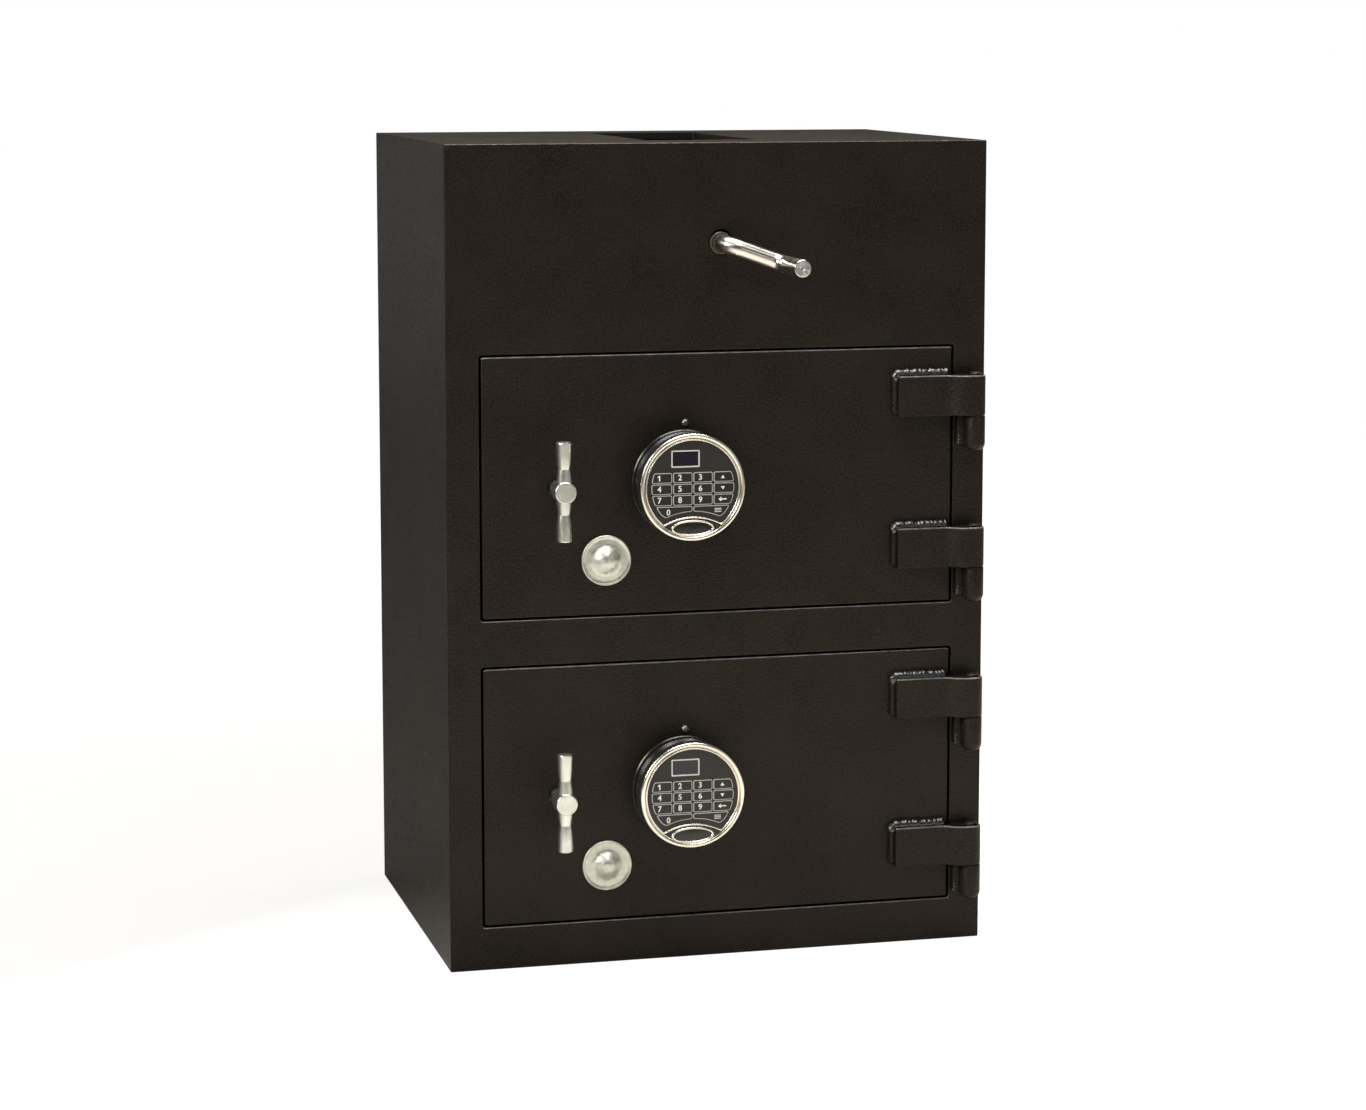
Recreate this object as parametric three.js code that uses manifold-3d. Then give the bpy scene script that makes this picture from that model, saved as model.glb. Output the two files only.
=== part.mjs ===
// A steel depository safe with a rotary hopper on top and two keypad doors in front, one above the other.
// Millimetres, +Z up. The origin is the centre of the footprint on the floor, and the doors face -Y.
import * as THREE from "three";
import { mergeVertices } from "three/addons/utils/BufferGeometryUtils.js";
import Module from "manifold-3d";

const wasm = await Module();
wasm.setup();

// Body
const bodyWidth = 514;
const bodyDepth = 376;
const bodyHeight = 762;
const wallThickness = 6.35;
const frontThickness = 12.7;
const weldGap = 0.1; // left between two plates that are welded face to face

// Door openings in the front frame
const openingWidth = 453;
const openingHeight = 244.5;
const bottomRail = 40;
const middleRail = 42.5;
const doorGap = 2; // all round each door

// Anchor holes in the floor of the safe
const anchorHoleRadius = 7;
const anchorInset = 70; // from the sides of the body to the hole centres

// Hopper mouth in the top plate
const mouthWidth = 106;
const mouthDepth = 232;
const mouthSetback = 72; // from the front face to the near edge

// Hopper drum, a C-shaped bucket on a shaft that runs front to back
const shaftDrop = 92; // from the top face to the shaft
const drumRadius = 78;
const drumWall = 3;
const drumGapAngle = 50; // degrees each side of straight up at rest
const drumOverrun = 7; // past the mouth at each end
const discThickness = 3;
const baffleClearance = 3;
const baffleThickness = 3.2;
const baffleSweep = 125; // degrees from straight up to the lower edge of a baffle

// Crank, bushings and stop
const rodRadius = 7.95;
const bushingWall = 2;
const bushingFlange = 1.2; // how far a bushing stands past the plate that it sits in
const turningClearance = 0.3;
const crankReach = 25; // from the front face to the middle of the arm
const crankArm = 56.5;
const crankArmDrop = 19.5; // degrees below level at rest
const crankGrip = 62; // from the middle of the arm to the end of the grip
const crankBend = 13; // radius of the two bends
const crankTurn = 180; // degrees between its stops
const bracketWidth = 150;
const bracketRise = 60; // below the shaft
const bracketThickness = 6.35;
const stopPinRadius = 5;
const stopPinOrbit = 55;
const stopThickness = 6;
const stopInner = 40;
const stopOuter = 70;
const stopSlack = 0.8; // degrees left between the pin and the stop

// Hinges: a strap on the door, and under it a barrel with a pin on the frame
const hingeInset = 12.5; // pin axis to the right side of the body
const hingeStandoff = 10; // pin axis to the front face
const knuckleRadius = 9.7;
const hingePinRadius = 4.75;
const strapHeight = 38;
const strapThickness = 10;
const strapLength = 74.5; // from its free end to the pin axis
const strapRampStart = 26.5; // from the pin axis
const strapRampEnd = 13;
const strapTopDrop = 47; // opening top to the middle of the upper strap
const strapBottomRise = 54; // opening bottom to the middle of the lower strap
const hingeGap = 0.3; // between a strap and what it lies on
const barrelHeight = 33;
const barrelFoot = 6; // rounded lower end
const pinCap = 2; // pin past the top of the knuckle
const leafOuter = 16; // from the pin axis
const leafInner = 7;
const leafDepth = 7;

// Dead bar along the hinge side of a door, which reaches in behind the frame
const deadBarReach = 10; // from its edge to the pin axis
const deadBarStandoff = 7.5; // behind the inner face of the door
const deadBarThickness = 8;
const deadBarFoot = 20;
const deadBarEndInset = 20.25; // from the top and bottom of the door

// Keypad lock
const keypadInset = 189.5; // from the free edge of the door to the keypad axis
const keypadRadius = 49.5;
const keypadBaseDepth = 24;
const keypadBezelDepth = 11;
const keypadFaceRadius = 43.5;
const keypadRecess = 1.6; // face below the rim of the bezel
const keypadFaceThickness = 4;

// Plug that closes the second lock hole
const plugInset = 115.5; // from the free edge of the door
const plugDrop = 69.5;
const washerRadius = 23.4;
const washerThickness = 3;
const washerHole = 5.4;
const plugHeadRadius = 14.3;
const plugHeadHeight = 6.5;
const plugBoltRadius = 5;
const plugBoltEnd = 6; // past the inner face of the door

// T-handle
const handleInset = 68.5; // from the free edge of the door
const hubRadius = 10;
const hubFront = 45; // from the door face to the end of the hub
const hubBack = 6;
const handleBarOffset = 36; // from the door face to the bar axis
const handleBarHalf = 45.5;
const handleBarRadius = 6.9;
const handleWaistRadius = 5.9;
const handleWaistEnd = 16.5; // from the hub axis
const spindleRadius = 6.35;
const handleTurn = 90; // degrees between bolts drawn and bolts thrown

// Boltwork on the inner face of a door
const camGap = 3; // from the door to the cam
const camRadius = 20;
const camThickness = 5;
const camPinOrbit = 14;
const camPinRadius = 4;
const slotClearance = 0.8;
const slotLead = 5; // past the pin at each end of the slot
const boltOffset = 13.3; // bolt axis from the inner face of the door
const boltRadius = 11;
const boltEndInset = 40.25; // bolt axis from the top and bottom of the door
const boltTip = 3.5; // from the edge of the door to the tip of a drawn bolt
const boltClearance = 0.5;
const guideInset = 8.5; // from the edge of the door
const guideThickness = 6;
const guideDepth = 27;
const guideEndInset = 20.25; // from the top and bottom of the door
const barThickness = 6.35;
const barWidth = 24;
const barEndInset = 25.25; // from the top and bottom of the door
const barClearance = 1.2; // from the bar to the guide when the bolts are thrown
const tongueMargin = 12; // bar past the slot on every side
const armHeight = 9;
const lugWidth = 8;
const lugInset = 40.5; // from the right side of the lock body, with the bolts drawn

// Lock body behind the keypad
const lockOffset = 19; // from the keypad axis towards the free edge
const lockWidth = 61;
const lockHeight = 84;
const lockRise = 16; // top of the lock body above the door centre
const lockDepth = 30;
const lockBoltWidth = 10;
const lockBoltLength = 34;
const lockBoltTravel = 9;
const lockBoltNose = 1; // past the lock body when drawn
const lockClearance = 0.4;
const lugGap = 2; // from the lock body to the lug above it

// Cover over the boltwork
const coverThickness = 1.5;
const coverClearance = 2.5; // behind the deepest piece under it
const coverEndInset = 8.25; // from the top and bottom of the door
const coverFreeInset = 19.5; // from the free edge of the door
const coverHingeInset = 29.5; // from the hinge edge of the door

// Faceting
const rodSides = 20;
const wideSides = 40;
const shellSides = 36; // around each wall of the drum shell
const baffleSides = 16;
const tubeSteps = 34;
const mergeDistance = 1e-3;

// Places worked out from the sizes above
const frontY = -bodyDepth / 2;
const backY = bodyDepth / 2;
const innerFrontY = frontY + frontThickness;
const halfBody = bodyWidth / 2;
const innerHalf = halfBody - wallThickness;
const topUnder = bodyHeight - wallThickness;
const doorWidth = openingWidth - 2 * doorGap;
const doorHeight = openingHeight - 2 * doorGap;
const doorLeft = -doorWidth / 2;
const handleX = doorLeft + handleInset;
const plugX = doorLeft + plugInset;
const keypadX = doorLeft + keypadInset;
const lockX = keypadX - lockOffset;
const lugX = lockX + lockWidth / 2 - lugInset;
const boltSpread = doorHeight / 2 - boltEndInset;
const guideHalf = doorHeight / 2 - guideEndInset;
const barHalf = doorHeight / 2 - barEndInset;
const deadBarHalf = doorHeight / 2 - deadBarEndInset;
const coverHalf = doorHeight / 2 - coverEndInset;
const coverLeft = doorLeft + coverFreeInset;
const coverRight = doorWidth / 2 - coverHingeInset;
const lowerDoorZ = bottomRail + openingHeight / 2;
const upperDoorZ = lowerDoorZ + openingHeight + middleRail;
const shaftZ = bodyHeight - shaftDrop;
const mouthFront = frontY + mouthSetback;
const drumFront = mouthFront - drumOverrun;
const drumBack = mouthFront + mouthDepth + drumOverrun;
const stopFront = drumBack + stopThickness;
const bracketFront = stopFront + stopThickness + weldGap;
const bracketBack = bracketFront + bracketThickness;
const bushingRadius = rodRadius + turningClearance + bushingWall;
const hingeX = halfBody - hingeInset;
const hingeY = frontY - hingeStandoff;
const boltY = innerFrontY + boltOffset;
const camFront = innerFrontY + camGap;
const camBack = camFront + camThickness;
const barFront = boltY - barThickness / 2;
const barBack = boltY + barThickness / 2;
const guideLeft = doorLeft + guideInset;
const guideRight = guideLeft + guideThickness;
const boltThrow = 2 * camPinOrbit * Math.sin(THREE.MathUtils.degToRad(handleTurn / 2));
const barLeft = guideRight + barClearance + boltThrow;
const lockBackY = innerFrontY + weldGap + lockDepth;
const lockBoltX = lugX - (lugWidth + boltThrow + lockBoltWidth) / 2;

// Materials
function steel(color, roughness, metalness) {
  return new THREE.MeshStandardMaterial({ color, roughness, metalness });
}
const powderCoat = steel(0x2b2724, 0.55, 0.1);
const bareSteel = steel(0x8b8a86, 0.4, 0.9);
const polishedSteel = steel(0xd8d6d0, 0.15, 1);
const satinNickel = steel(0xbdb9b0, 0.35, 1);
const zincPlate = steel(0xc9c6bd, 0.4, 0.9);
const chromePlate = steel(0xe2e0dc, 0.08, 1);
const blackPlastic = steel(0x1d1c1c, 0.45, 0);
const lockCasting = steel(0xa9a49a, 0.5, 0.8);
const bronze = steel(0x9a7a45, 0.4, 0.9);

// Solids: closed geometries joined and cut
function solidOf(geometry) {
  const bare = geometry.clone();
  bare.deleteAttribute("normal");
  bare.deleteAttribute("uv");
  const merged = mergeVertices(bare, mergeDistance);
  return new wasm.Manifold(
    new wasm.Mesh({
      numProp: 3,
      vertProperties: merged.attributes.position.array,
      triVerts: new Uint32Array(merged.index.array),
    }),
  );
}

function geometryOf(solid) {
  const mesh = solid.getMesh();
  const geometry = new THREE.BufferGeometry();
  geometry.setAttribute("position", new THREE.BufferAttribute(mesh.vertProperties, 3));
  geometry.setIndex(new THREE.BufferAttribute(mesh.triVerts, 1));
  geometry.computeVertexNormals();
  return geometry;
}

function join(...geometries) {
  return geometryOf(geometries.map(solidOf).reduce((whole, piece) => whole.add(piece)));
}

function cut(geometry, ...tools) {
  return geometryOf(tools.map(solidOf).reduce((whole, tool) => whole.subtract(tool), solidOf(geometry)));
}

// A box between two limits on each axis
function block(left, right, front, back, bottom, top) {
  const box = new THREE.BoxGeometry(right - left, back - front, top - bottom);
  return box.translate((left + right) / 2, (front + back) / 2, (bottom + top) / 2);
}

// A round bar along Y, along X or along Z
function rodY(radius, front, back, x = 0, z = 0, sides = rodSides) {
  const rod = new THREE.CylinderGeometry(radius, radius, back - front, sides);
  return rod.translate(x, (front + back) / 2, z);
}

function rodX(radius, left, right, y, z) {
  const rod = new THREE.CylinderGeometry(radius, radius, right - left, rodSides).rotateZ(Math.PI / 2);
  return rod.translate((left + right) / 2, y, z);
}

function rodZ(radius, bottom, top, x = 0, y = 0) {
  const rod = new THREE.CylinderGeometry(radius, radius, top - bottom, rodSides).rotateX(Math.PI / 2);
  return rod.translate(x, y, (bottom + top) / 2);
}

// A turned piece about Y, from points of radius and Y
function turned(points, sides) {
  return new THREE.LatheGeometry(points.map(([radius, y]) => new THREE.Vector2(radius, y)), sides);
}

// A flat outline in X and Z, given thickness along Y
function plateY(shape, front, back, sides = baffleSides) {
  const depth = back - front;
  const plate = new THREE.ExtrudeGeometry(shape, { depth, bevelEnabled: false, curveSegments: sides / 2 });
  return plate.rotateX(Math.PI / 2).translate(0, back, 0);
}

// A ring sector between two radii and two angles in degrees, counted from +X towards +Z
function sectorShape(inner, outer, from, to) {
  const start = THREE.MathUtils.degToRad(from);
  const end = THREE.MathUtils.degToRad(to);
  const shape = new THREE.Shape();
  shape.absarc(0, 0, outer, start, end, false);
  shape.absarc(0, 0, inner, end, start, true);
  shape.closePath();
  return shape;
}

function addPiece(group, name, geometry, material) {
  const mesh = new THREE.Mesh(geometry, material);
  mesh.name = name;
  group.add(mesh);
}

// Body plates, welded edge to edge behind the front frame
function makeBody() {
  const body = new THREE.Group();
  const innerBack = backY - wallThickness;
  const plateFront = innerFrontY + weldGap;
  const plateSide = innerHalf - weldGap;
  const plateBack = innerBack - weldGap;

  const frame = cut(
    block(-halfBody, halfBody, frontY, innerFrontY, 0, bodyHeight),
    ...[lowerDoorZ, upperDoorZ].map((z) =>
      block(
        -openingWidth / 2,
        openingWidth / 2,
        frontY - 1,
        innerFrontY + 1,
        z - openingHeight / 2,
        z + openingHeight / 2,
      ),
    ),
    rodY(bushingRadius + weldGap, frontY - 1, innerFrontY + 1, 0, shaftZ),
  );
  addPiece(body, "front_frame", frame, powderCoat);

  const sidePlate = block(innerHalf, halfBody, plateFront, backY, 0, bodyHeight);
  addPiece(body, "right_side_plate", sidePlate, powderCoat);
  addPiece(body, "left_side_plate", sidePlate.clone().translate(-innerHalf - halfBody, 0, 0), powderCoat);
  addPiece(body, "back_plate", block(-plateSide, plateSide, innerBack, backY, 0, bodyHeight), powderCoat);

  const top = cut(
    block(-plateSide, plateSide, plateFront, plateBack, topUnder, bodyHeight),
    block(
      -mouthWidth / 2,
      mouthWidth / 2,
      mouthFront,
      mouthFront + mouthDepth,
      topUnder - 1,
      bodyHeight + 1,
    ),
  );
  addPiece(body, "top_plate", top, powderCoat);

  const anchorX = halfBody - anchorInset;
  const anchorY = backY - anchorInset;
  const anchorHoles = [
    [-anchorX, -anchorY],
    [anchorX, -anchorY],
    [-anchorX, anchorY],
    [anchorX, anchorY],
  ].map(([x, y]) => rodZ(anchorHoleRadius, -1, wallThickness + 1, x, y));
  const floor = cut(block(-plateSide, plateSide, plateFront, plateBack, 0, wallThickness), ...anchorHoles);
  addPiece(body, "bottom_plate", floor, powderCoat);

  const shelfZ = bottomRail + openingHeight + middleRail / 2;
  const shelf = block(
    -plateSide,
    plateSide,
    plateFront,
    plateBack,
    shelfZ - wallThickness / 2,
    shelfZ + wallThickness / 2,
  );
  addPiece(body, "divider_shelf", shelf, powderCoat);
  return body;
}

// Fixed parts of the hopper. Z is counted from the shaft in this group.
function makeHopperHousing() {
  const housing = new THREE.Group();
  housing.position.z = shaftZ;
  const ceiling = shaftDrop - wallThickness - weldGap;

  const inner = drumRadius + baffleClearance;
  const outer = inner + baffleThickness;
  const webInner = mouthWidth / 2;
  const webOuter = webInner + baffleThickness;
  const startAngle = THREE.MathUtils.radToDeg(Math.acos(webInner / inner));
  const baffleFront = drumFront - weldGap;
  const baffleBack = bracketFront - weldGap;
  const webFoot = Math.sqrt(inner * inner - webInner * webInner);
  const rightBaffle = join(
    plateY(sectorShape(inner, outer, 90 - baffleSweep, startAngle), baffleFront, baffleBack),
    block(webInner, webOuter, baffleFront, baffleBack, webFoot, ceiling),
  );
  const leftBaffle = join(
    plateY(sectorShape(inner, outer, 180 - startAngle, 90 + baffleSweep), baffleFront, baffleBack),
    block(-webOuter, -webInner, baffleFront, baffleBack, webFoot, ceiling),
  );
  addPiece(housing, "hopper_right_baffle", rightBaffle, powderCoat);
  addPiece(housing, "hopper_left_baffle", leftBaffle, powderCoat);

  const bracket = cut(
    block(-bracketWidth / 2, bracketWidth / 2, bracketFront, bracketBack, -bracketRise, ceiling),
    rodY(bushingRadius + weldGap, bracketFront - 1, bracketBack + 1),
  );
  addPiece(housing, "hopper_rear_bracket", bracket, powderCoat);

  const bushing = (front, back) =>
    cut(rodY(bushingRadius, front, back), rodY(rodRadius + turningClearance, front - 1, back + 1));
  const frontBushing = bushing(frontY - bushingFlange, innerFrontY + bushingFlange);
  const rearBushing = bushing(bracketFront - bushingFlange, bracketBack + bushingFlange);
  addPiece(housing, "hopper_front_bushing", frontBushing, bareSteel);
  addPiece(housing, "hopper_rear_bushing", rearBushing, bronze);

  const pinHalfAngle = THREE.MathUtils.radToDeg(Math.asin(stopPinRadius / stopPinOrbit));
  const margin = pinHalfAngle + stopSlack;
  const stop = plateY(
    sectorShape(stopInner, stopOuter, crankTurn + margin, 360 - margin),
    stopFront,
    stopFront + stopThickness,
  );
  addPiece(housing, "hopper_stop_sector", stop, bareSteel);
  return housing;
}

// The drum and all that turns with the crank. Z is counted from the shaft in this group.
function makeHopper() {
  const hopper = new THREE.Group();
  hopper.position.z = shaftZ;
  const shellFront = drumFront + discThickness + weldGap;
  const shellBack = drumBack - discThickness - weldGap;
  const shell = plateY(
    sectorShape(drumRadius - drumWall, drumRadius, 90 + drumGapAngle, 450 - drumGapAngle),
    shellFront,
    shellBack,
    shellSides,
  );
  addPiece(hopper, "hopper_drum_shell", shell, powderCoat);

  const disc = (front) => rodY(drumRadius, front, front + discThickness, 0, 0, wideSides);
  addPiece(hopper, "hopper_front_disc", disc(drumFront), powderCoat);
  addPiece(hopper, "hopper_rear_disc", disc(drumBack - discThickness), powderCoat);

  const stub = rodY(rodRadius, drumBack + weldGap, bracketBack + bushingFlange + 1);
  addPiece(hopper, "hopper_stub_shaft", stub, bareSteel);
  const pinEnd = stopFront + stopThickness - 1;
  const stopPin = rodY(stopPinRadius, drumBack + weldGap, pinEnd, stopPinOrbit);
  addPiece(hopper, "hopper_stop_pin", stopPin, bareSteel);
  addPiece(hopper, "crank_handle", makeCrank(), polishedSteel);
  return hopper;
}

// One rod: shaft, bend, arm, bend, grip. It is drawn with its arm along +X and then turned down.
function makeCrank() {
  const armY = frontY - crankReach;
  const at = (x, y) => new THREE.Vector3(x, y, 0);
  const route = new THREE.CurvePath();
  route.add(new THREE.LineCurve3(at(0, drumFront - weldGap), at(0, armY + crankBend)));
  route.add(new THREE.QuadraticBezierCurve3(at(0, armY + crankBend), at(0, armY), at(crankBend, armY)));
  route.add(new THREE.LineCurve3(at(crankBend, armY), at(crankArm - crankBend, armY)));
  route.add(
    new THREE.QuadraticBezierCurve3(
      at(crankArm - crankBend, armY),
      at(crankArm, armY),
      at(crankArm, armY - crankBend),
    ),
  );
  route.add(new THREE.LineCurve3(at(crankArm, armY - crankBend), at(crankArm, armY - crankGrip)));
  const section = new THREE.Shape();
  section.absarc(0, 0, rodRadius, 0, 2 * Math.PI);
  const rod = new THREE.ExtrudeGeometry(section, {
    steps: tubeSteps,
    extrudePath: route,
    curveSegments: rodSides / 2,
  });
  return rod.rotateY(THREE.MathUtils.degToRad(crankArmDrop));
}

// Hinge barrels on the frame, with Z counted from the door centre
function strapCentres() {
  return { top: openingHeight / 2 - strapTopDrop, bottom: strapBottomRise - openingHeight / 2 };
}

function makeBarrel(strapZ) {
  const top = strapZ - strapHeight / 2 - hingeGap;
  const bottom = top - barrelHeight;
  const profile = [
    [0, bottom],
    [knuckleRadius / 2, bottom],
    [knuckleRadius * 0.85, bottom + barrelFoot / 3],
    [knuckleRadius, bottom + barrelFoot],
    [knuckleRadius, top],
    [hingePinRadius, top],
    [hingePinRadius, strapZ + strapHeight / 2 + pinCap],
    [0, strapZ + strapHeight / 2 + pinCap],
  ];
  const barrel = turned(profile, rodSides).rotateX(Math.PI / 2).translate(hingeX, hingeY, 0);
  const leafBack = frontY - weldGap;
  const leaf = block(
    hingeX - leafOuter,
    hingeX - leafInner,
    leafBack - leafDepth,
    leafBack,
    bottom + barrelFoot,
    top,
  );
  return join(barrel, leaf);
}

function makeBarrels(name, doorZ) {
  const barrels = new THREE.Group();
  barrels.position.z = doorZ;
  for (const [place, strapZ] of Object.entries(strapCentres()))
    addPiece(barrels, `${name}_hinge_barrel_${place}`, makeBarrel(strapZ), powderCoat);
  return barrels;
}

// Hinge strap: a flat bar that ramps out and wraps the pin
function makeStrap(strapZ) {
  const back = frontY - hingeGap;
  const face = back - strapThickness;
  const shape = new THREE.Shape();
  shape.moveTo(hingeX - strapLength, back);
  shape.lineTo(hingeX - strapLength, face);
  shape.lineTo(hingeX - strapRampStart, face);
  shape.lineTo(hingeX - strapRampEnd, hingeY - knuckleRadius);
  shape.lineTo(hingeX, hingeY - knuckleRadius);
  shape.absarc(hingeX, hingeY, knuckleRadius, -Math.PI / 2, Math.PI / 2, false);
  shape.closePath();
  const strap = new THREE.ExtrudeGeometry(shape, {
    depth: strapHeight,
    bevelEnabled: false,
    curveSegments: rodSides / 2,
  });
  strap.translate(0, 0, strapZ - strapHeight / 2);
  const bore = hingePinRadius + turningClearance;
  return cut(strap, rodZ(bore, strapZ - strapHeight, strapZ + strapHeight, hingeX, hingeY));
}

// Door plate with its dead bar along the hinge edge, and the two holes of the lock and handle
function makeDoorPlate() {
  const standBack = innerFrontY + deadBarStandoff;
  const barRight = hingeX - deadBarReach;
  const footRight = doorWidth / 2 - doorGap;
  const footLeft = footRight - deadBarFoot;
  const plate = join(
    block(doorLeft, doorWidth / 2, frontY, innerFrontY, -doorHeight / 2, doorHeight / 2),
    block(footLeft, footRight, innerFrontY - 1, standBack + 1, -deadBarHalf, deadBarHalf),
    block(footLeft, barRight, standBack, standBack + deadBarThickness, -deadBarHalf, deadBarHalf),
  );
  return cut(
    plate,
    rodY(spindleRadius + turningClearance, frontY - 1, innerFrontY + 1, handleX),
    rodY(plugBoltRadius + turningClearance, frontY - 1, innerFrontY + 1, plugX, -plugDrop),
  );
}

// Keypad: a drum-shaped housing, a chrome ring and the face inside it
function addKeypad(door, name) {
  const seat = frontY - weldGap;
  const baseFront = seat - keypadBaseDepth;
  const bezelBack = baseFront - weldGap;
  const bezelFront = bezelBack - keypadBezelDepth;
  const rim = keypadRadius - keypadFaceRadius;
  const base = turned(
    [
      [0, baseFront],
      [keypadRadius, baseFront],
      [keypadRadius, seat],
      [0, seat],
    ],
    wideSides,
  );
  const bezel = turned(
    [
      [keypadFaceRadius, bezelBack],
      [keypadFaceRadius, bezelFront + rim / 4],
      [keypadFaceRadius + rim / 4, bezelFront],
      [keypadRadius - rim / 2, bezelFront],
      [keypadRadius, bezelFront + rim / 2],
      [keypadRadius, bezelBack],
      [keypadFaceRadius, bezelBack],
    ],
    wideSides,
  );
  const faceFront = bezelFront + keypadRecess;
  const faceRadius = keypadFaceRadius - turningClearance;
  const face = rodY(faceRadius, faceFront, faceFront + keypadFaceThickness, 0, 0, wideSides);
  const back = rodY(faceRadius - rim, faceFront + 1, bezelBack, 0, 0, wideSides);
  for (const piece of [base, bezel, face, back]) piece.translate(keypadX, 0, 0);
  addPiece(door, `${name}_keypad_base`, base, blackPlastic);
  addPiece(door, `${name}_keypad_bezel`, bezel, chromePlate);
  addPiece(door, `${name}_keypad_face`, join(face, back), blackPlastic);
}

// Carriage bolt and washer that close the spare lock hole
function addPlug(door, name) {
  const washerBack = frontY - weldGap;
  const washerFront = washerBack - washerThickness;
  const washer = cut(
    rodY(washerRadius, washerFront, washerBack, plugX, -plugDrop, wideSides),
    rodY(washerHole, washerFront - 1, washerBack + 1, plugX, -plugDrop),
  );
  const headBack = washerFront - weldGap;
  const bolt = turned(
    [
      [0, headBack - plugHeadHeight],
      [plugHeadRadius * 0.4, headBack - plugHeadHeight * 0.9],
      [plugHeadRadius * 0.75, headBack - plugHeadHeight * 0.6],
      [plugHeadRadius, headBack],
      [plugBoltRadius, headBack],
      [plugBoltRadius, innerFrontY + plugBoltEnd],
      [0, innerFrontY + plugBoltEnd],
    ],
    rodSides,
  );
  addPiece(door, `${name}_plug_washer`, washer, zincPlate);
  addPiece(door, `${name}_plug_bolt`, bolt.translate(plugX, 0, -plugDrop), zincPlate);
}

// Lock body on the inner face, with a square channel for its bolt
function makeLockCase() {
  const channel = lockBoltWidth / 2 + lockClearance;
  const middle = lockBoltX + lockBoltWidth / 2;
  const bottom = lockRise + lockBoltNose - lockBoltLength - lockClearance;
  return cut(
    block(
      lockX - lockWidth / 2,
      lockX + lockWidth / 2,
      innerFrontY + weldGap,
      lockBackY,
      lockRise - lockHeight,
      lockRise,
    ),
    block(middle - channel, middle + channel, boltY - channel, boltY + channel, bottom, lockRise + 1),
  );
}

function makeBoltGuide() {
  const holes = [-boltSpread, boltSpread].map((z) =>
    rodX(boltRadius + boltClearance, guideLeft - 1, guideRight + 1, boltY, z),
  );
  const front = innerFrontY + weldGap;
  return cut(block(guideLeft, guideRight, front, front + guideDepth, -guideHalf, guideHalf), ...holes);
}

// Sheet cover over the boltwork, flanged at its top and bottom
function makeCover() {
  const front = innerFrontY + weldGap;
  const inside = lockBackY + coverClearance;
  const outer = block(coverLeft, coverRight, front, inside + coverThickness, -coverHalf, coverHalf);
  const innerTop = coverHalf - coverThickness;
  return cut(outer, block(coverLeft - 1, coverRight + 1, front - 1, inside, -innerTop, innerTop));
}

// T-handle: hub and cross bar in one, then the spindle and the cam with its crank pin
function addHandle(door, name) {
  const hub = turned(
    [
      [0, frontY - hubFront],
      [hubRadius - 1, frontY - hubFront],
      [hubRadius, frontY - hubFront + 1],
      [hubRadius, frontY - hubBack],
      [0, frontY - hubBack],
    ],
    rodSides,
  );
  const edge = 1;
  const half = [
    [handleWaistRadius, 0],
    [handleWaistRadius, handleWaistEnd],
    [handleBarRadius - edge, handleWaistEnd + edge],
    [handleBarRadius, handleBarHalf - edge],
    [handleBarRadius - edge, handleBarHalf],
    [0, handleBarHalf],
  ];
  const mirrored = half.slice(1).reverse();
  const outline = mirrored.map(([radius, z]) => [radius, -z]).concat(half);
  const bar = turned(outline, rodSides).rotateX(Math.PI / 2).translate(0, frontY - handleBarOffset, 0);
  addPiece(door, `${name}_handle_grip`, join(hub, bar).translate(handleX, 0, 0), satinNickel);

  const spindle = rodY(spindleRadius, frontY - hubBack + weldGap, camFront - weldGap, handleX);
  addPiece(door, `${name}_handle_spindle`, spindle, bareSteel);

  const pinAngle = THREE.MathUtils.degToRad(90 - handleTurn / 2);
  const pinX = handleX + camPinOrbit * Math.cos(pinAngle);
  const pinZ = camPinOrbit * Math.sin(pinAngle);
  const cam = join(
    rodY(camRadius, camFront, camBack, handleX, 0, wideSides),
    rodY(camPinRadius, camBack - 1, barBack, pinX, pinZ),
  );
  addPiece(door, `${name}_handle_cam`, cam, bareSteel);
}

// Bolt bar: an upright that carries both bolts, a tongue with the cam slot and an arm with the lock lug
function makeBoltBar() {
  const slotX = handleX + boltThrow / 2;
  const slotHalf = camPinRadius + slotClearance;
  const pinLow = camPinOrbit * Math.cos(THREE.MathUtils.degToRad(handleTurn / 2));
  const slotBottom = pinLow - slotHalf - slotLead / 2;
  const slotTop = camPinOrbit + slotHalf + slotLead / 2;
  const tongueRight = slotX + slotHalf + tongueMargin;
  const lugBottom = lockRise + lugGap;
  const lugTop = lockRise + lockBoltNose + lockBoltTravel + lugGap;
  const bar = join(
    block(barLeft, barLeft + barWidth, barFront, barBack, -barHalf, barHalf),
    block(barLeft, tongueRight, barFront, barBack, slotBottom - tongueMargin, lugTop + armHeight),
    block(barLeft, lugX, barFront, barBack, lugTop, lugTop + armHeight),
    block(lugX - lugWidth, lugX, barFront, barBack, lugBottom, lugTop + 1),
  );
  const slot = block(slotX - slotHalf, slotX + slotHalf, barFront - 1, barBack + 1, slotBottom, slotTop);
  return cut(bar, slot);
}

function makeLockBolt() {
  const half = lockBoltWidth / 2;
  const top = lockRise + lockBoltNose;
  const left = lockBoltX;
  return block(left, left + lockBoltWidth, boltY - half, boltY + half, top - lockBoltLength, top);
}

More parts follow.
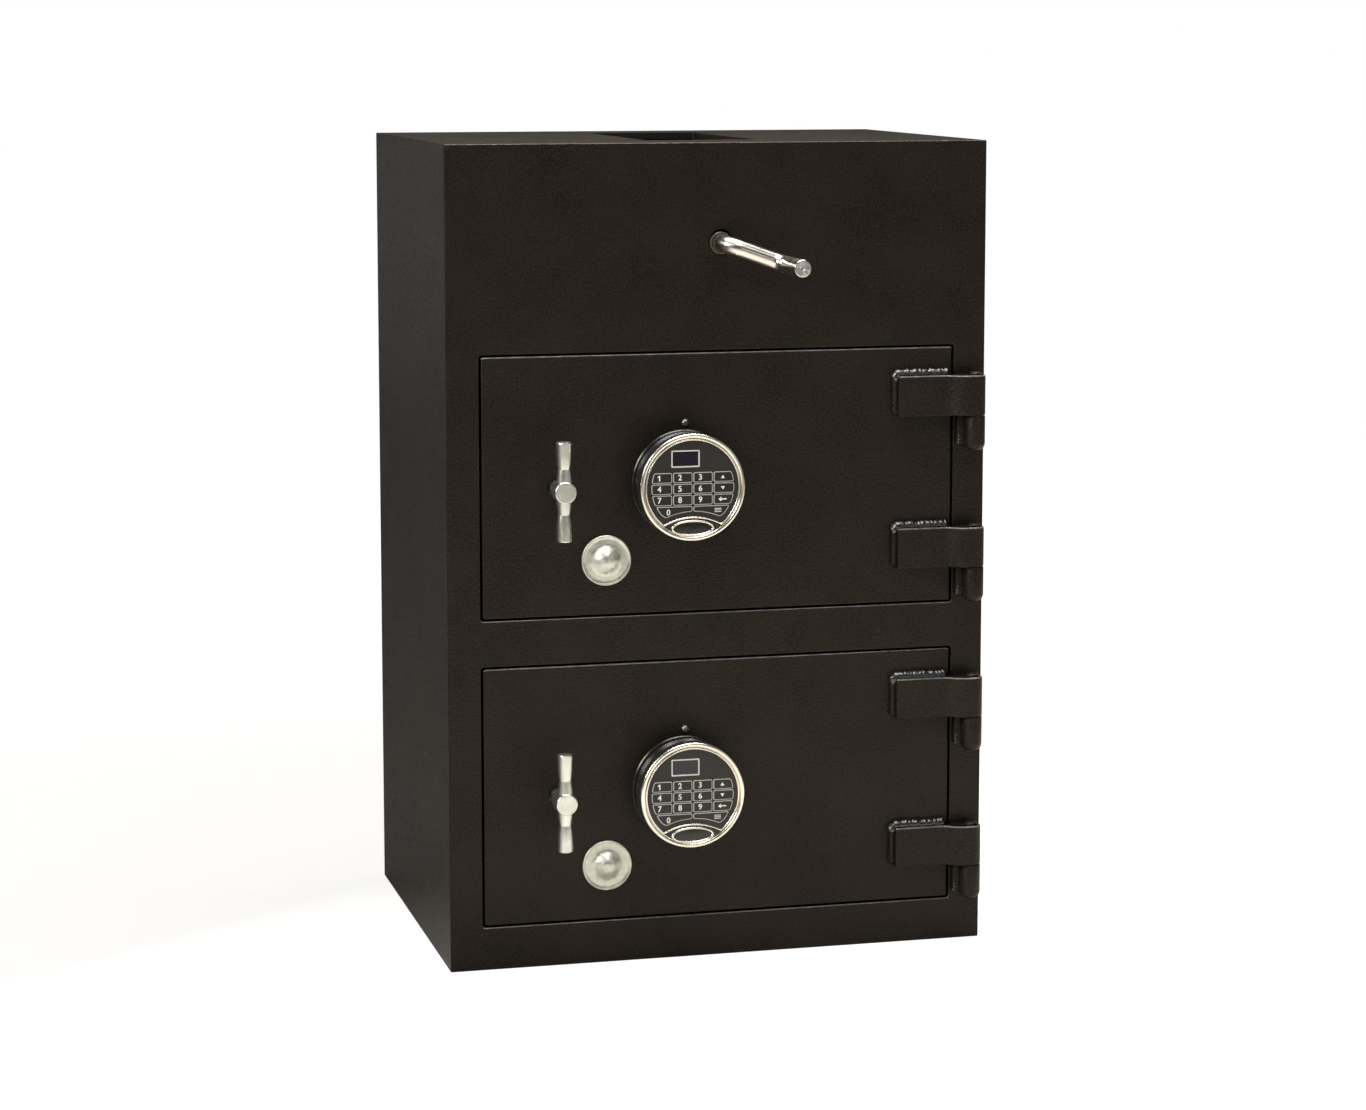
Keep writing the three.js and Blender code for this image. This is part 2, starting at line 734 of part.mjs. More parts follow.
function makeDoor(name, doorZ) {
  const door = new THREE.Group();
  door.position.z = doorZ;
  addPiece(door, `${name}_door_plate`, makeDoorPlate(), powderCoat);
  for (const [place, strapZ] of Object.entries(strapCentres()))
    addPiece(door, `${name}_hinge_strap_${place}`, makeStrap(strapZ), powderCoat);
  addKeypad(door, name);
  addPlug(door, name);
  addHandle(door, name);
  addPiece(door, `${name}_lock_case`, makeLockCase(), lockCasting);
  addPiece(door, `${name}_lock_bolt`, makeLockBolt(), bronze);
  addPiece(door, `${name}_bolt_guide`, makeBoltGuide(), bareSteel);
  addPiece(door, `${name}_bolt_bar`, makeBoltBar(), bareSteel);
  for (const [place, z] of Object.entries({ top: boltSpread, bottom: -boltSpread })) {
    const bolt = rodX(boltRadius, doorLeft + boltTip, barLeft - weldGap, boltY, z);
    addPiece(door, `${name}_locking_bolt_${place}`, bolt, polishedSteel);
  }
  addPiece(door, `${name}_back_cover`, makeCover(), powderCoat);
  return door;
}

const safe = new THREE.Group();
safe.add(makeBody(), makeHopperHousing(), makeHopper());
for (const [name, doorZ] of Object.entries({ upper: upperDoorZ, lower: lowerDoorZ }))
  safe.add(makeBarrels(name, doorZ), makeDoor(name, doorZ));

export default safe;
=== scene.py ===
import math

import bmesh
import bpy
from mathutils import Matrix, Vector, noise


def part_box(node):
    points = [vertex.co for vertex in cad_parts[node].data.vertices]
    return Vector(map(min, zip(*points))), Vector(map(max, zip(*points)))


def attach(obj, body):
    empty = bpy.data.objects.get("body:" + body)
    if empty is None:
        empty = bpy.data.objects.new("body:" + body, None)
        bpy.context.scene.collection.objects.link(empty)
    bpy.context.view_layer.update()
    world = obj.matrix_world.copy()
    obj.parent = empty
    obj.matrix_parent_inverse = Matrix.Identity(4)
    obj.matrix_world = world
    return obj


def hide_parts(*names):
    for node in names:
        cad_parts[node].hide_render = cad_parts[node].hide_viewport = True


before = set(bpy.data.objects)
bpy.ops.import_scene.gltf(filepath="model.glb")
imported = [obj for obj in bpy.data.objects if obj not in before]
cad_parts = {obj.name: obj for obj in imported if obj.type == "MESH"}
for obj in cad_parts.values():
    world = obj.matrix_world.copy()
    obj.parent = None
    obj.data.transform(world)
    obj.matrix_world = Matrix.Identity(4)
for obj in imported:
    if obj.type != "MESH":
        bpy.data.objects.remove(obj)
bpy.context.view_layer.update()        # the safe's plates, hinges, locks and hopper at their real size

# Rotary hopper safe in black textured powder coat, with two keypad doors.
# Pieces are shaped in millimetres and turned to metres when they are finished.
doors = ("upper", "lower")
print("frame loaded:", len(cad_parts), "nodes")


def nodeBox(name):
    low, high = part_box(name)
    return Vector(low) * 1000, Vector(high) * 1000


def nodeMiddle(name):
    low, high = nodeBox(name)
    return (low + high) / 2


def axisOf(name):  # where the axis of a piece that is round about Y passes
    middle = nodeMiddle(name)
    return Vector((middle.x, 0, middle.z))


def radiusOf(name):  # of a piece that is round about Y
    low, high = nodeBox(name)
    return (high.x - low.x) / 2


def innerCorners(name):  # corners of a plate's openings
    low, high = nodeBox(name)
    corners = [v.co * 1000 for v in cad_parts[name].data.vertices]
    return [c for c in corners if low.x + 1 < c.x < high.x - 1 and low.y + 1 < c.y < high.y - 1]


def spanOf(corners):
    xs = [c.x for c in corners]
    ys = [c.y for c in corners]
    return min(xs), max(xs), min(ys), max(ys)


# Shaping helpers
def moveBy(bm, step, verts=None):
    bmesh.ops.translate(bm, vec=step, verts=verts or bm.verts)


def turnBy(bm, degrees, axis):
    matrix = Matrix.Rotation(math.radians(degrees), 3, axis)
    bmesh.ops.rotate(bm, cent=(0, 0, 0), matrix=matrix, verts=bm.verts)


def faceOut(bm):
    bmesh.ops.recalc_face_normals(bm, faces=bm.faces)


def softenEdges(bm, width, segments=3, angle=30, chosen=None, clamp=True):
    edges = [e for e in bm.edges if len(e.link_faces) == 2 and e.calc_face_angle() > math.radians(angle)]
    if chosen:
        edges = [
            e for e in edges
            if chosen((e.verts[0].co + e.verts[1].co) / 2, e.verts[1].co - e.verts[0].co)
        ]
    bmesh.ops.bevel(
        bm, geom=edges, offset=width, segments=segments, profile=0.5, affect="EDGES", material=-1,
        clamp_overlap=clamp,
    )


def blockOf(low, high, edge=0.0):
    bm = bmesh.new()
    bmesh.ops.create_cube(bm, size=1)
    bmesh.ops.scale(bm, vec=Vector(high) - Vector(low), verts=bm.verts)
    moveBy(bm, (Vector(low) + Vector(high)) / 2)
    if edge:
        softenEdges(bm, edge)
    return bm


def onlyVerts(geometry):
    return [g for g in geometry if isinstance(g, bmesh.types.BMVert)]


def flatOutline(points, front):  # a face in X and Z that looks towards -Y
    bm = bmesh.new()
    verts = [bm.verts.new((x, front, z)) for x, z in points]
    bm.faces.new(verts)
    bm.normal_update()
    if list(bm.faces)[0].normal.y > 0:
        bmesh.ops.reverse_faces(bm, faces=bm.faces)
    return bm


def thicken(bm, step):  # an open sheet becomes a closed solid
    grown = bmesh.ops.extrude_face_region(bm, geom=bm.faces[:])["geom"]
    moveBy(bm, step, onlyVerts(grown))
    faceOut(bm)


def roundCorners(bm, radius, segments, corners=None):
    bmesh.ops.bevel(
        bm, geom=corners or bm.verts[:], offset=radius, segments=segments, profile=0.5,
        affect="VERTICES", material=-1, clamp_overlap=bool(corners),
    )


def layAlong(bm, axis, middle):  # a piece made about Z is laid along X, Y or Z and put in its place
    turnBy(bm, *{"X": (90, "Y"), "Y": (-90, "X"), "Z": (0, "Z")}[axis])
    moveBy(bm, middle)


def turned(profile, axis, middle, steps=72, closed=False):
    # profile holds (radius, place along the axis); a closed one is a ring
    bm = bmesh.new()
    verts = [bm.verts.new((radius, 0, along)) for radius, along in profile]
    ends = verts[1:] + verts[:1] if closed else verts[1:]
    edges = [bm.edges.new(pair) for pair in zip(verts, ends)]
    bmesh.ops.spin(
        bm, geom=verts + edges, cent=(0, 0, 0), axis=(0, 0, 1), angle=2 * math.pi, steps=steps,
        use_merge=True,
    )
    bmesh.ops.remove_doubles(bm, verts=bm.verts, dist=1e-4)
    faceOut(bm)
    layAlong(bm, axis, middle)
    return bm


def drillAt(middle, axis, radius, reach, steps):  # what a drill takes away
    return turned([(0, -reach), (radius, -reach), (radius, reach), (0, reach)], axis, middle, steps)


def pinOf(node, middle, radius, edge, steps=40):  # a plain round piece along Y, as long as its node
    low, high = nodeBox(node)
    pin = turned([(0, low.y), (radius, low.y), (radius, high.y), (0, high.y)], "Y", middle, steps)
    softenEdges(pin, edge, 2, angle=60)
    return pin


def sweptSector(inner, outer, near, far, start, sweep, middle, steps):
    # a bar of rectangular section swept round the Y axis; angles are in degrees from +X towards +Z
    bm = bmesh.new()
    section = ((inner, near, 0), (outer, near, 0), (outer, far, 0), (inner, far, 0))
    corners = [bm.verts.new(place) for place in section]
    face = bm.faces.new(corners)
    turnBy(bm, -start, "Y")
    bmesh.ops.spin(
        bm, geom=[face] + face.edges[:] + corners, cent=(0, 0, 0), axis=(0, -1, 0),
        angle=math.radians(sweep), steps=steps,
    )
    faceOut(bm)
    moveBy(bm, middle)
    return bm


def carved(bm, tool, operation="DIFFERENCE"):  # one closed mesh cut from another, or joined to it
    made = []
    for part in (bm, tool):
        mesh = bpy.data.meshes.new("carving")
        part.to_mesh(mesh)
        part.free()
        made.append(bpy.data.objects.new("carving", mesh))
        bpy.context.scene.collection.objects.link(made[-1])
    modifier = made[0].modifiers.new("carve", "BOOLEAN")
    modifier.object = made[1]
    modifier.operation = operation
    modifier.solver = "EXACT"
    evaluated = made[0].evaluated_get(bpy.context.evaluated_depsgraph_get())
    result = bmesh.new()
    result.from_mesh(evaluated.to_mesh())
    evaluated.to_mesh_clear()
    for thing in made:
        mesh = thing.data
        bpy.data.objects.remove(thing)
        bpy.data.meshes.remove(mesh)
    bmesh.ops.remove_doubles(result, verts=result.verts, dist=1e-3)
    return result


def tidyFaces(bm):  # flat neighbours become one face again
    bmesh.ops.dissolve_limit(bm, angle_limit=math.radians(0.5), verts=bm.verts, edges=bm.edges)


def paintEdgeHighlights(bm):  # rounded edges that look forward and up take the piece's second material, a painted highlight of light from above
    bm.normal_update()
    for face in bm.faces:
        face.material_index = 1 if 0.17 < face.normal.z < 0.985 and face.normal.y < -0.1 else 0


def copyOf(name):  # a merged copy of a CAD node, in millimetres
    bm = bmesh.new()
    bm.from_mesh(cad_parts[name].data)
    bmesh.ops.scale(bm, vec=(1000, 1000, 1000), verts=bm.verts)
    bmesh.ops.remove_doubles(bm, verts=bm.verts, dist=0.01)
    tidyFaces(bm)
    return bm


def meshOfCurve(curve):  # text and curves become meshes before they are placed
    holder = bpy.data.objects.new("shape", curve)
    bm = bmesh.new()
    bm.from_mesh(holder.to_mesh())
    holder.to_mesh_clear()
    bpy.data.objects.remove(holder)
    bpy.data.curves.remove(curve)
    bmesh.ops.remove_doubles(bm, verts=bm.verts, dist=0.001)
    faceOut(bm)
    return bm


def wireOf(places, thickness=1.0, radii=None, closed=False):  # a round wire
    curve = bpy.data.curves.new("wire", "CURVE")
    curve.dimensions = "3D"
    curve.bevel_depth = thickness
    curve.bevel_resolution = 3
    curve.use_fill_caps = not closed
    spline = curve.splines.new("POLY")
    spline.points.add(len(places) - 1)
    spline.use_cyclic_u = closed
    for i, place in enumerate(places):
        spline.points[i].co = (*place, 1)
        spline.points[i].radius = radii[i] if radii else 1
    return meshOfCurve(curve)


def joined(parts):  # several bmeshes as one
    mesh = bpy.data.meshes.new("joining")
    whole = bmesh.new()
    for part in parts:
        part.to_mesh(mesh)
        part.free()
        whole.from_mesh(mesh)
    bpy.data.meshes.remove(mesh)
    return whole


def finishPiece(name, bm, materials, body, slotName, replaced=(), sharp=40, flatFaces=False):
    bmesh.ops.scale(bm, vec=(0.001, 0.001, 0.001), verts=bm.verts)
    mesh = bpy.data.meshes.new(name)
    bm.to_mesh(mesh)
    bm.free()
    for material in materials:
        mesh.materials.append(material)
    mesh.shade_smooth()
    mesh.set_sharp_from_angle(angle=math.radians(sharp))
    piece = bpy.data.objects.new(name, mesh)
    bpy.context.scene.collection.objects.link(piece)
    if flatFaces:  # keeps broad flat faces flat beside their rounded edges
        piece.modifiers.new("flat faces", "WEIGHTED_NORMAL").keep_sharp = True
    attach(piece, body)
    if replaced:
        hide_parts(*replaced)


def finishOnDoor(door, name, bm, materials, slotName, node=None, **settings):
    replaced = [f"{door}_{node}"] if node else ()
    finishPiece(f"{door}_{name}", bm, materials, door + "_door", slotName, replaced, **settings)


# Material helpers
def toLinear(colour):  # sRGB hex to linear RGBA
    channels = [int(colour[i : i + 2], 16) / 255 for i in (1, 3, 5)]
    return [c / 12.92 if c <= 0.04045 else ((c + 0.055) / 1.055) ** 2.4 for c in channels] + [1.0]


def perMetre(size):  # texture scale for a feature of that many millimetres
    return 1000 / size


def addNode(tree, kind, values=None, links=None, **settings):
    node = tree.nodes.new("ShaderNode" + kind)
    for name, value in settings.items():
        setattr(node, name, value)
    for socket, value in (values or {}).items():
        node.inputs[socket].default_value = value
    for socket, source in (links or {}).items():
        tree.links.new(source, node.inputs[socket])
    return node


def makeFinish(name, look):
    # colours, roughness and relief each follow their own noise, whose size in millimetres comes last
    material = bpy.data.materials.new(name)
    material.use_nodes = True
    tree = material.node_tree
    shader = tree.nodes["Principled BSDF"]
    place = addNode(tree, "TexCoord").outputs["Object"]
    dark, light, size = look["colours"]
    cloud = addNode(tree, "TexNoise", {"Scale": perMetre(size), "Detail": 4}, {"Vector": place})
    values = {"From Min": 0.35, "From Max": 0.65}
    spread = addNode(tree, "MapRange", values, {"Value": cloud.outputs["Fac"]})
    values = {6: toLinear(dark), 7: toLinear(light)}
    colour = addNode(tree, "Mix", values, {0: spread.outputs[0]}, data_type="RGBA")
    if "paintedGlints" in look:  # painted highlight: the tops of the grain are painted paler, as if they caught the light
        pale, size = look["paintedGlints"]
        grain = addNode(tree, "TexNoise", {"Scale": perMetre(size), "Detail": 3}, {"Vector": place})
        values = {"From Min": 0.5, "From Max": 0.7}
        glintMask = addNode(tree, "MapRange", values, {"Value": grain.outputs["Fac"]})
        links = {0: glintMask.outputs[0], 6: colour.outputs[2]}
        colour = addNode(tree, "Mix", {7: toLinear(pale)}, links, data_type="RGBA")
    tree.links.new(colour.outputs[2], shader.inputs["Base Color"])
    smooth, rough, size = look["roughness"]
    haze = addNode(tree, "TexNoise", {"Scale": perMetre(size), "Detail": 3}, {"Vector": place})
    values = {"From Min": 0.3, "From Max": 0.7, "To Min": smooth, "To Max": rough}
    roughness = addNode(tree, "MapRange", values, {"Value": haze.outputs["Fac"]})
    tree.links.new(roughness.outputs[0], shader.inputs["Roughness"])
    if "relief" in look:
        height, size = look["relief"]
        if "stretch" in look:
            drawn = addNode(tree, "Mapping", {"Scale": look["stretch"]}, {"Vector": place})
            place = drawn.outputs[0]
        skin = addNode(tree, "TexNoise", {"Scale": perMetre(size), "Detail": 3}, {"Vector": place})
        bump = addNode(tree, "Bump", {"Distance": height / 1000}, {"Height": skin.outputs["Fac"]})
        tree.links.new(bump.outputs[0], shader.inputs["Normal"])
    for socket, value in look.get("shader", {}).items():
        shader.inputs[socket].default_value = value
    return material


metal = {"Metallic": 1.0}

# Epoxy-polyester powder coat, sprayed and baked: near black and warm, with a pebbled grain that breaks
# light into specks, and paler specks painted on the grain's tops as painted highlights
powderCoat = makeFinish("black textured powder coat", {
    "colours": ("#120e0b", "#1b1612", 60),
    "paintedGlints": ("#27221f", 2.0),  # painted highlight specks on the grain's tops; real grain is about 1 mm, drawn coarser here so that it shows
    "roughness": (0.24, 0.44, 2.0),
    "relief": (0.82, 2.0),
    "shader": {"Specular IOR Level": 0.21, "Specular Tint": toLinear("#fff5ee")},
})

# The same coat on edges, where it is drawn thin: smoother, and painted paler as a painted highlight, so
# that an edge shows a thin line of light
edgeHighlightCoat = makeFinish("powder coat painted paler on edges", {
    "colours": ("#454346", "#656266", 6),
    "roughness": (0.16, 0.36, 2.0),
    "relief": (0.5, 2.0),
})

# The same coat where it pools over a weld: thicker, so glossier, with the ripples under it
weldCoat = makeFinish("powder coat pooled on welds", {
    "colours": ("#141210", "#1e1c1a", 5),
    "roughness": (0.14, 0.3, 4),
    "relief": (0.6, 2.2),
    "shader": {"Coat Weight": 1.0, "Coat Roughness": 0.18},
})

# Cold-rolled steel, milled and oiled: grey with soft tool marks
machinedSteel = makeFinish("machined cold-rolled steel", {
    "colours": ("#7d7a75", "#9c9993", 22),
    "roughness": (0.28, 0.44, 1.5),
    "shader": metal,
})

# The same steel where the crank has run in it for years: brown with old oil, and dull
oiledSteel = makeFinish("oiled bushing steel", {
    "colours": ("#4f493f", "#6e675a", 5),
    "roughness": (0.44, 0.6, 1.2),
    "shader": metal,
})

# 304 stainless rod, drawn and buffed: bright, with a faint haze and fainter long streaks
polishedStainless = makeFinish("buffed stainless rod", {
    "colours": ("#d5d1ca", "#dedad3", 12),
    "roughness": (0.2, 0.26, 14),
    "relief": (0.012, 0.7),  # polishing marks are finer, drawn coarser so that they show
    "stretch": (0.06, 1, 0.06),
    "shader": metal,
})

# The rod's sawn and faced end: grey and matt, with the facing tool's rings
facedStainless = makeFinish("faced stainless end", {
    "colours": ("#b0adab", "#c3c0bd", 4),
    "roughness": (0.34, 0.48, 1),
    "shader": metal,
})

# Zinc alloy with satin nickel plate: pale and creamy, nearly matt
satinNickel = makeFinish("satin nickel plate", {
    "colours": ("#d0d2cc", "#dee1dd", 9),
    "roughness": (0.28, 0.38, 2),
    "shader": metal,
})

# Zinc-plated steel, dipped and passivated: pale grey with a mottled bloom
zincPlate = makeFinish("zinc plated steel", {
    "colours": ("#bfc1b8", "#d4d6cd", 4),
    "roughness": (0.36, 0.5, 4),
    "relief": (0.06, 3.5),
    "shader": metal,
})

# Chrome plate over polished brass: near mirror, a little warm
chrome = makeFinish("chrome plate", {
    "colours": ("#e9e4d9", "#efeadf", 20),
    "roughness": (0.2, 0.24, 20),
    "shader": metal,
})

# ABS, injection moulded in black with a fine spark-eroded skin
blackPlastic = makeFinish("moulded black ABS", {
    "colours": ("#141313", "#191818", 25),
    "roughness": (0.2, 0.32, 1.2),
    "relief": (0.01, 0.7),  # the skin is finer, drawn coarser so that it shows
})

# Polycarbonate overlay film with a velvet hard coat: soft charcoal
overlayFilm = makeFinish("polycarbonate keypad film", {
    "colours": ("#151312", "#1e1c1a", 30),
    "roughness": (0.38, 0.46, 2),
    "relief": (0.01, 0.5),
})

# The same film formed over the key domes: darker and a little glossier from use
keyFilm = makeFinish("polycarbonate key caps", {
    "colours": ("#0d0c0c", "#131211", 12),
    "roughness": (0.34, 0.44, 2),
    "relief": (0.01, 0.5),
})

# Screen-printed epoxy ink, grey and white: flat, with a faint mesh unevenness
lineInk = makeFinish("light grey print ink", {
    "colours": ("#bcbab7", "#cac8c5", 3),
    "roughness": (0.42, 0.56, 1),
})
digitInk = makeFinish("white print ink", {
    "colours": ("#dfdcd6", "#e9e6e1", 3),
    "roughness": (0.42, 0.56, 1),
})

# Zinc die casting, tumbled: dull grey with a sandy skin
lockCasting = makeFinish("zinc die casting", {
    "colours": ("#98948b", "#b3afa6", 14),
    "roughness": (0.42, 0.58, 1.4),
    "relief": (0.05, 1.4),
    "shader": metal,
})

# Sintered bronze, oiled: brown gold and satin
bronze = makeFinish("sintered bronze", {
    "colours": ("#8f6d3d", "#b18c57", 6),
    "roughness": (0.34, 0.5, 1.2),
    "shader": metal,
})


# Acrylic window over an unlit display: blue-black and glossy, with the cell grid just visible
def makeDisplayGlass():
    material = makeFinish("acrylic display window", {
        "colours": ("#0c0c1c", "#0f0f22", 4), "roughness": (0.1, 0.14, 8),
    })
    tree = material.node_tree
    values = {"Scale": perMetre(2), "Mortar Size": 0.03, "Brick Width": 1.0, "Row Height": 1.0}
    for socket, colour in (("Color1", "#0c0c1c"), ("Color2", "#0f0f22"), ("Mortar", "#18182c")):
        values[socket] = toLinear(colour)
    place = tree.nodes["Texture Coordinate"].outputs["Object"]
    grid = addNode(tree, "TexBrick", values, {"Vector": place}, offset=0.0)
    tree.links.new(grid.outputs["Color"], tree.nodes["Principled BSDF"].inputs["Base Color"])
    return material


displayGlass = makeDisplayGlass()
print("materials made")


# Camera at the photograph's angle: standing to the left and above, looking at the front
cameraSettings = {
    "lens": 88.6,
    "shift": -0.07,
    "place": (-800, -3167, 860),
    "yaw": 14.39,
    "pitch": -7.21,
}


def makeCamera():
    data = bpy.data.cameras.new("camera")
    data.lens = cameraSettings["lens"]
    data.shift_y = cameraSettings["shift"]
    data.clip_end = 200
    camera = bpy.data.objects.new("camera", data)
    camera.location = Vector(cameraSettings["place"]) / 1000
    camera.rotation_euler = (
        math.radians(90 + cameraSettings["pitch"]), 0, -math.radians(cameraSettings["yaw"]),
    )
    bpy.context.scene.collection.objects.link(camera)
    bpy.context.scene.camera = camera


makeCamera()
print("camera placed")


# Welded body: its plates are under one coat, so its outside is one skin
bodySettings = {
    "outerEdge": 1.1,
    "openingCorner": 2.6,
    "openingEdge": 0.9,
    "doorGap": 2.0,
    "mouthCorner": 2.5,
    "bushingFit": 1.2,
    "bushingShift": (0.9, 0, 0.9),  # the bushing sits low and left in its hole
    "overcut": 5,  # how far a cutting tool runs past the plate
}


def openingOf(door):  # door opening: the door plate and the gap round it
    low, high = nodeBox(door + "_door_plate")
    gap = bodySettings["doorGap"]
    return -low.x + gap, low.z - gap, high.z + gap


def openingTool(door, front, back):  # what is cut away for a door, with a rounded front edge
    half, bottom, top = openingOf(door)
    edge = bodySettings["openingEdge"]
    ahead = bodySettings["overcut"]
    reach = half + edge
    low, high = bottom - edge, top + edge
    bm = flatOutline([(-reach, low), (reach, low), (reach, high), (-reach, high)], front - ahead)
    roundCorners(bm, bodySettings["openingCorner"] + edge, 6)
    thicken(bm, (0, ahead, 0))
    end = max(bm.faces, key=lambda face: face.calc_center_median().y)
    for i in range(3):  # the quarter round of the front edge, in steps of 30 degrees
        before = math.radians(30 * i)
        after = math.radians(30 * (i + 1))
        bmesh.ops.inset_region(
            bm, faces=[end], thickness=edge * (math.sin(after) - math.sin(before)),
            depth=edge * (math.cos(before) - math.cos(after)),
        )
    bmesh.ops.inset_region(bm, faces=[end], thickness=0, depth=back - front - edge)
    faceOut(bm)
    return bm


def mouthBox():  # the hopper's opening in the top plate
    low, high = nodeBox("top_plate")
    left, right, near, far = spanOf(innerCorners("top_plate"))
    return Vector((left, near, low.z)), Vector((right, far, high.z))


def anchorPlaces():  # middle and radius of each hole in the floor
    low = nodeBox("bottom_plate")[0]
    inner = innerCorners("bottom_plate")
    places = []
    for x in (-1, 1):
        for y in (-1, 1):
            left, right, near, far = spanOf([c for c in inner if c.x * x > 0 and c.y * y > 0])
            middle = Vector(((left + right) / 2, (near + far) / 2, low.z))
            places.append((middle, (right - left) / 2))
    return places


def makeBody():
    look = bodySettings
    plates = [
        "front_frame", "left_side_plate", "right_side_plate", "back_plate", "top_plate", "bottom_plate",
    ]
    boxes = [nodeBox(name) for name in plates]
    low = Vector(min(b[0][i] for b in boxes) for i in range(3))
    high = Vector(max(b[1][i] for b in boxes) for i in range(3))
    side = nodeBox("right_side_plate")
    wall = side[1].x - side[0].x
    innerFront = nodeBox("front_frame")[1].y
    roomLow = (low.x + wall, innerFront, low.z + wall)
    roomHigh = (high.x - wall, high.y - wall, high.z - wall)
    body = carved(blockOf(low, high), blockOf(roomLow, roomHigh))
    for door in doors:
        body = carved(body, openingTool(door, low.y, innerFront + look["overcut"]))
    mouthLow, mouthHigh = mouthBox()
    mouthLow.z -= look["overcut"]
    mouthHigh.z += look["overcut"]
    body = carved(body, blockOf(mouthLow, mouthHigh))
    radius = radiusOf("hopper_front_bushing") + look["bushingFit"]
    middle = nodeMiddle("hopper_front_bushing") + Vector(look["bushingShift"])
    body = carved(body, drillAt(middle, "Y", radius, 20, 48))
    for middle, radius in anchorPlaces():
        body = carved(body, drillAt(middle, "Z", radius, 9, 32))
    tidyFaces(body)

    def mouthCorner(middle, along):
        return (
            abs(abs(middle.x) - mouthHigh.x) < 0.1 and abs(along.z) > 5
            and (abs(middle.y - mouthLow.y) < 0.1 or abs(middle.y - mouthHigh.y) < 0.1)
        )

    def outside(middle, along):
        atMouth = abs(middle.x) < mouthHigh.x + 1 and mouthLow.y - 1 < middle.y < mouthHigh.y + 1
        return not atMouth and (
            abs(abs(middle.x) - high.x) < 0.01 or abs(abs(middle.y) - high.y) < 0.01
            or middle.z < low.z + 0.01 or middle.z > high.z - 0.01
        )

    softenEdges(body, look["mouthCorner"], 4, chosen=mouthCorner)
    # painted highlight: edges that face forward and up take the paler coat
    paintEdgeHighlights(body)
    softenEdges(body, look["outerEdge"], 3, angle=60, chosen=outside, clamp=False)
    finishPiece("welded_body", body, [powderCoat, edgeHighlightCoat], "root", "powder_coat", plates, flatFaces=True)


makeBody()
print("welded body made")


# Doors: a thick plate with small corner radii and a dead bar behind its hinge edge
doorSettings = {"corner": 2.4, "edge": 1.2}


def makeDoorPlate(door):
    plate = copyOf(door + "_door_plate")
    low, high = nodeBox(door + "_door_plate")
    half = -low.x
    front = low.y

    def cornerOfPlate(middle, along):
        return (
            abs(abs(middle.x) - half) < 0.1 and abs(along.y) > 5 and middle.y < front + 13
            and (middle.z < low.z + 0.1 or middle.z > high.z - 0.1)
        )

    softenEdges(plate, doorSettings["corner"], 5, chosen=cornerOfPlate)
    softenEdges(plate, doorSettings["edge"], 3, angle=60, clamp=False)
    # painted highlight: edges that face forward and up take the paler coat
    paintEdgeHighlights(plate)
    finishOnDoor(door, "door", plate, [powderCoat, edgeHighlightCoat], "powder_coat", "door_plate", flatFaces=True)


for door in doors:
    makeDoorPlate(door)
print("door plates made")


# Hinges: a flat strap that ramps out and wraps the pin, and a barrel with the pin below it
hingeSettings = {
    "rampStart": 26.5,  # from the pin axis
    "rampEnd": 13,
    "thickness": 10,
    "bore": 4.95,
    "pin": 4.7,
    "gap": 0.3,  # from the barrel up to the strap
    "headRise": 0.4,  # from the strap up to the pin's head
    "headRadius": 6.8,
    "headHeight": 3.2,
    "edge": 1.3,
    "bend": 5.0,
    "barrelFoot": 6.0,
    "leafOuter": 16,
    "leafInner": 7,
    "leafDepth": 7,
}


def pinAxis(strapName):  # the knuckle is as wide as the strap is deep
    low, high = nodeBox(strapName)
    radius = (high.y - low.y) / 2
    return high.x - radius, (low.y + high.y) / 2, radius


def makeStrap(door, place):
    name = f"{door}_hinge_strap_{place}"
    low, high = nodeBox(name)
    pinX, pinY = pinAxis(name)[:2]
    look = hingeSettings
    face = high.y - look["thickness"]
    bm = bmesh.new()
    outline = [
        bm.verts.new((x, y, low.z))
        for x, y in (
            (low.x, high.y),
            (low.x, face),
            (pinX - look["rampStart"], face),
            (pinX - look["rampEnd"], low.y),
            (pinX, low.y),
        )
    ]
    for pair in zip(outline, outline[1:]):
        bm.edges.new(pair)
    last = bmesh.ops.spin(
        bm, geom=[outline[-1]], cent=(pinX, pinY, low.z), axis=(0, 0, 1), angle=math.pi, steps=28,
    )["geom_last"]
    bm.edges.new((onlyVerts(last)[0], outline[0]))
    bmesh.ops.contextual_create(bm, geom=bm.edges[:])
    thicken(bm, (0, 0, high.z - low.z))

    def bendLine(middle, along):
        return abs(along.z) > 20 and pinX - look["rampStart"] - 1 < middle.x < pinX - look["rampEnd"] + 1

    softenEdges(bm, look["bend"], 5, angle=10, chosen=bendLine)
    softenEdges(bm, look["edge"], 3, angle=50, clamp=False)
    bm = carved(bm, drillAt((pinX, pinY, (low.z + high.z) / 2), "Z", look["bore"], 40, 40))
    # painted highlight: edges that face forward and up take the paler coat
    paintEdgeHighlights(bm)
    finishOnDoor(
        door, f"hinge_leaf_{place}", bm, [powderCoat, edgeHighlightCoat], "powder_coat",
        f"hinge_strap_{place}", flatFaces=True,
    )


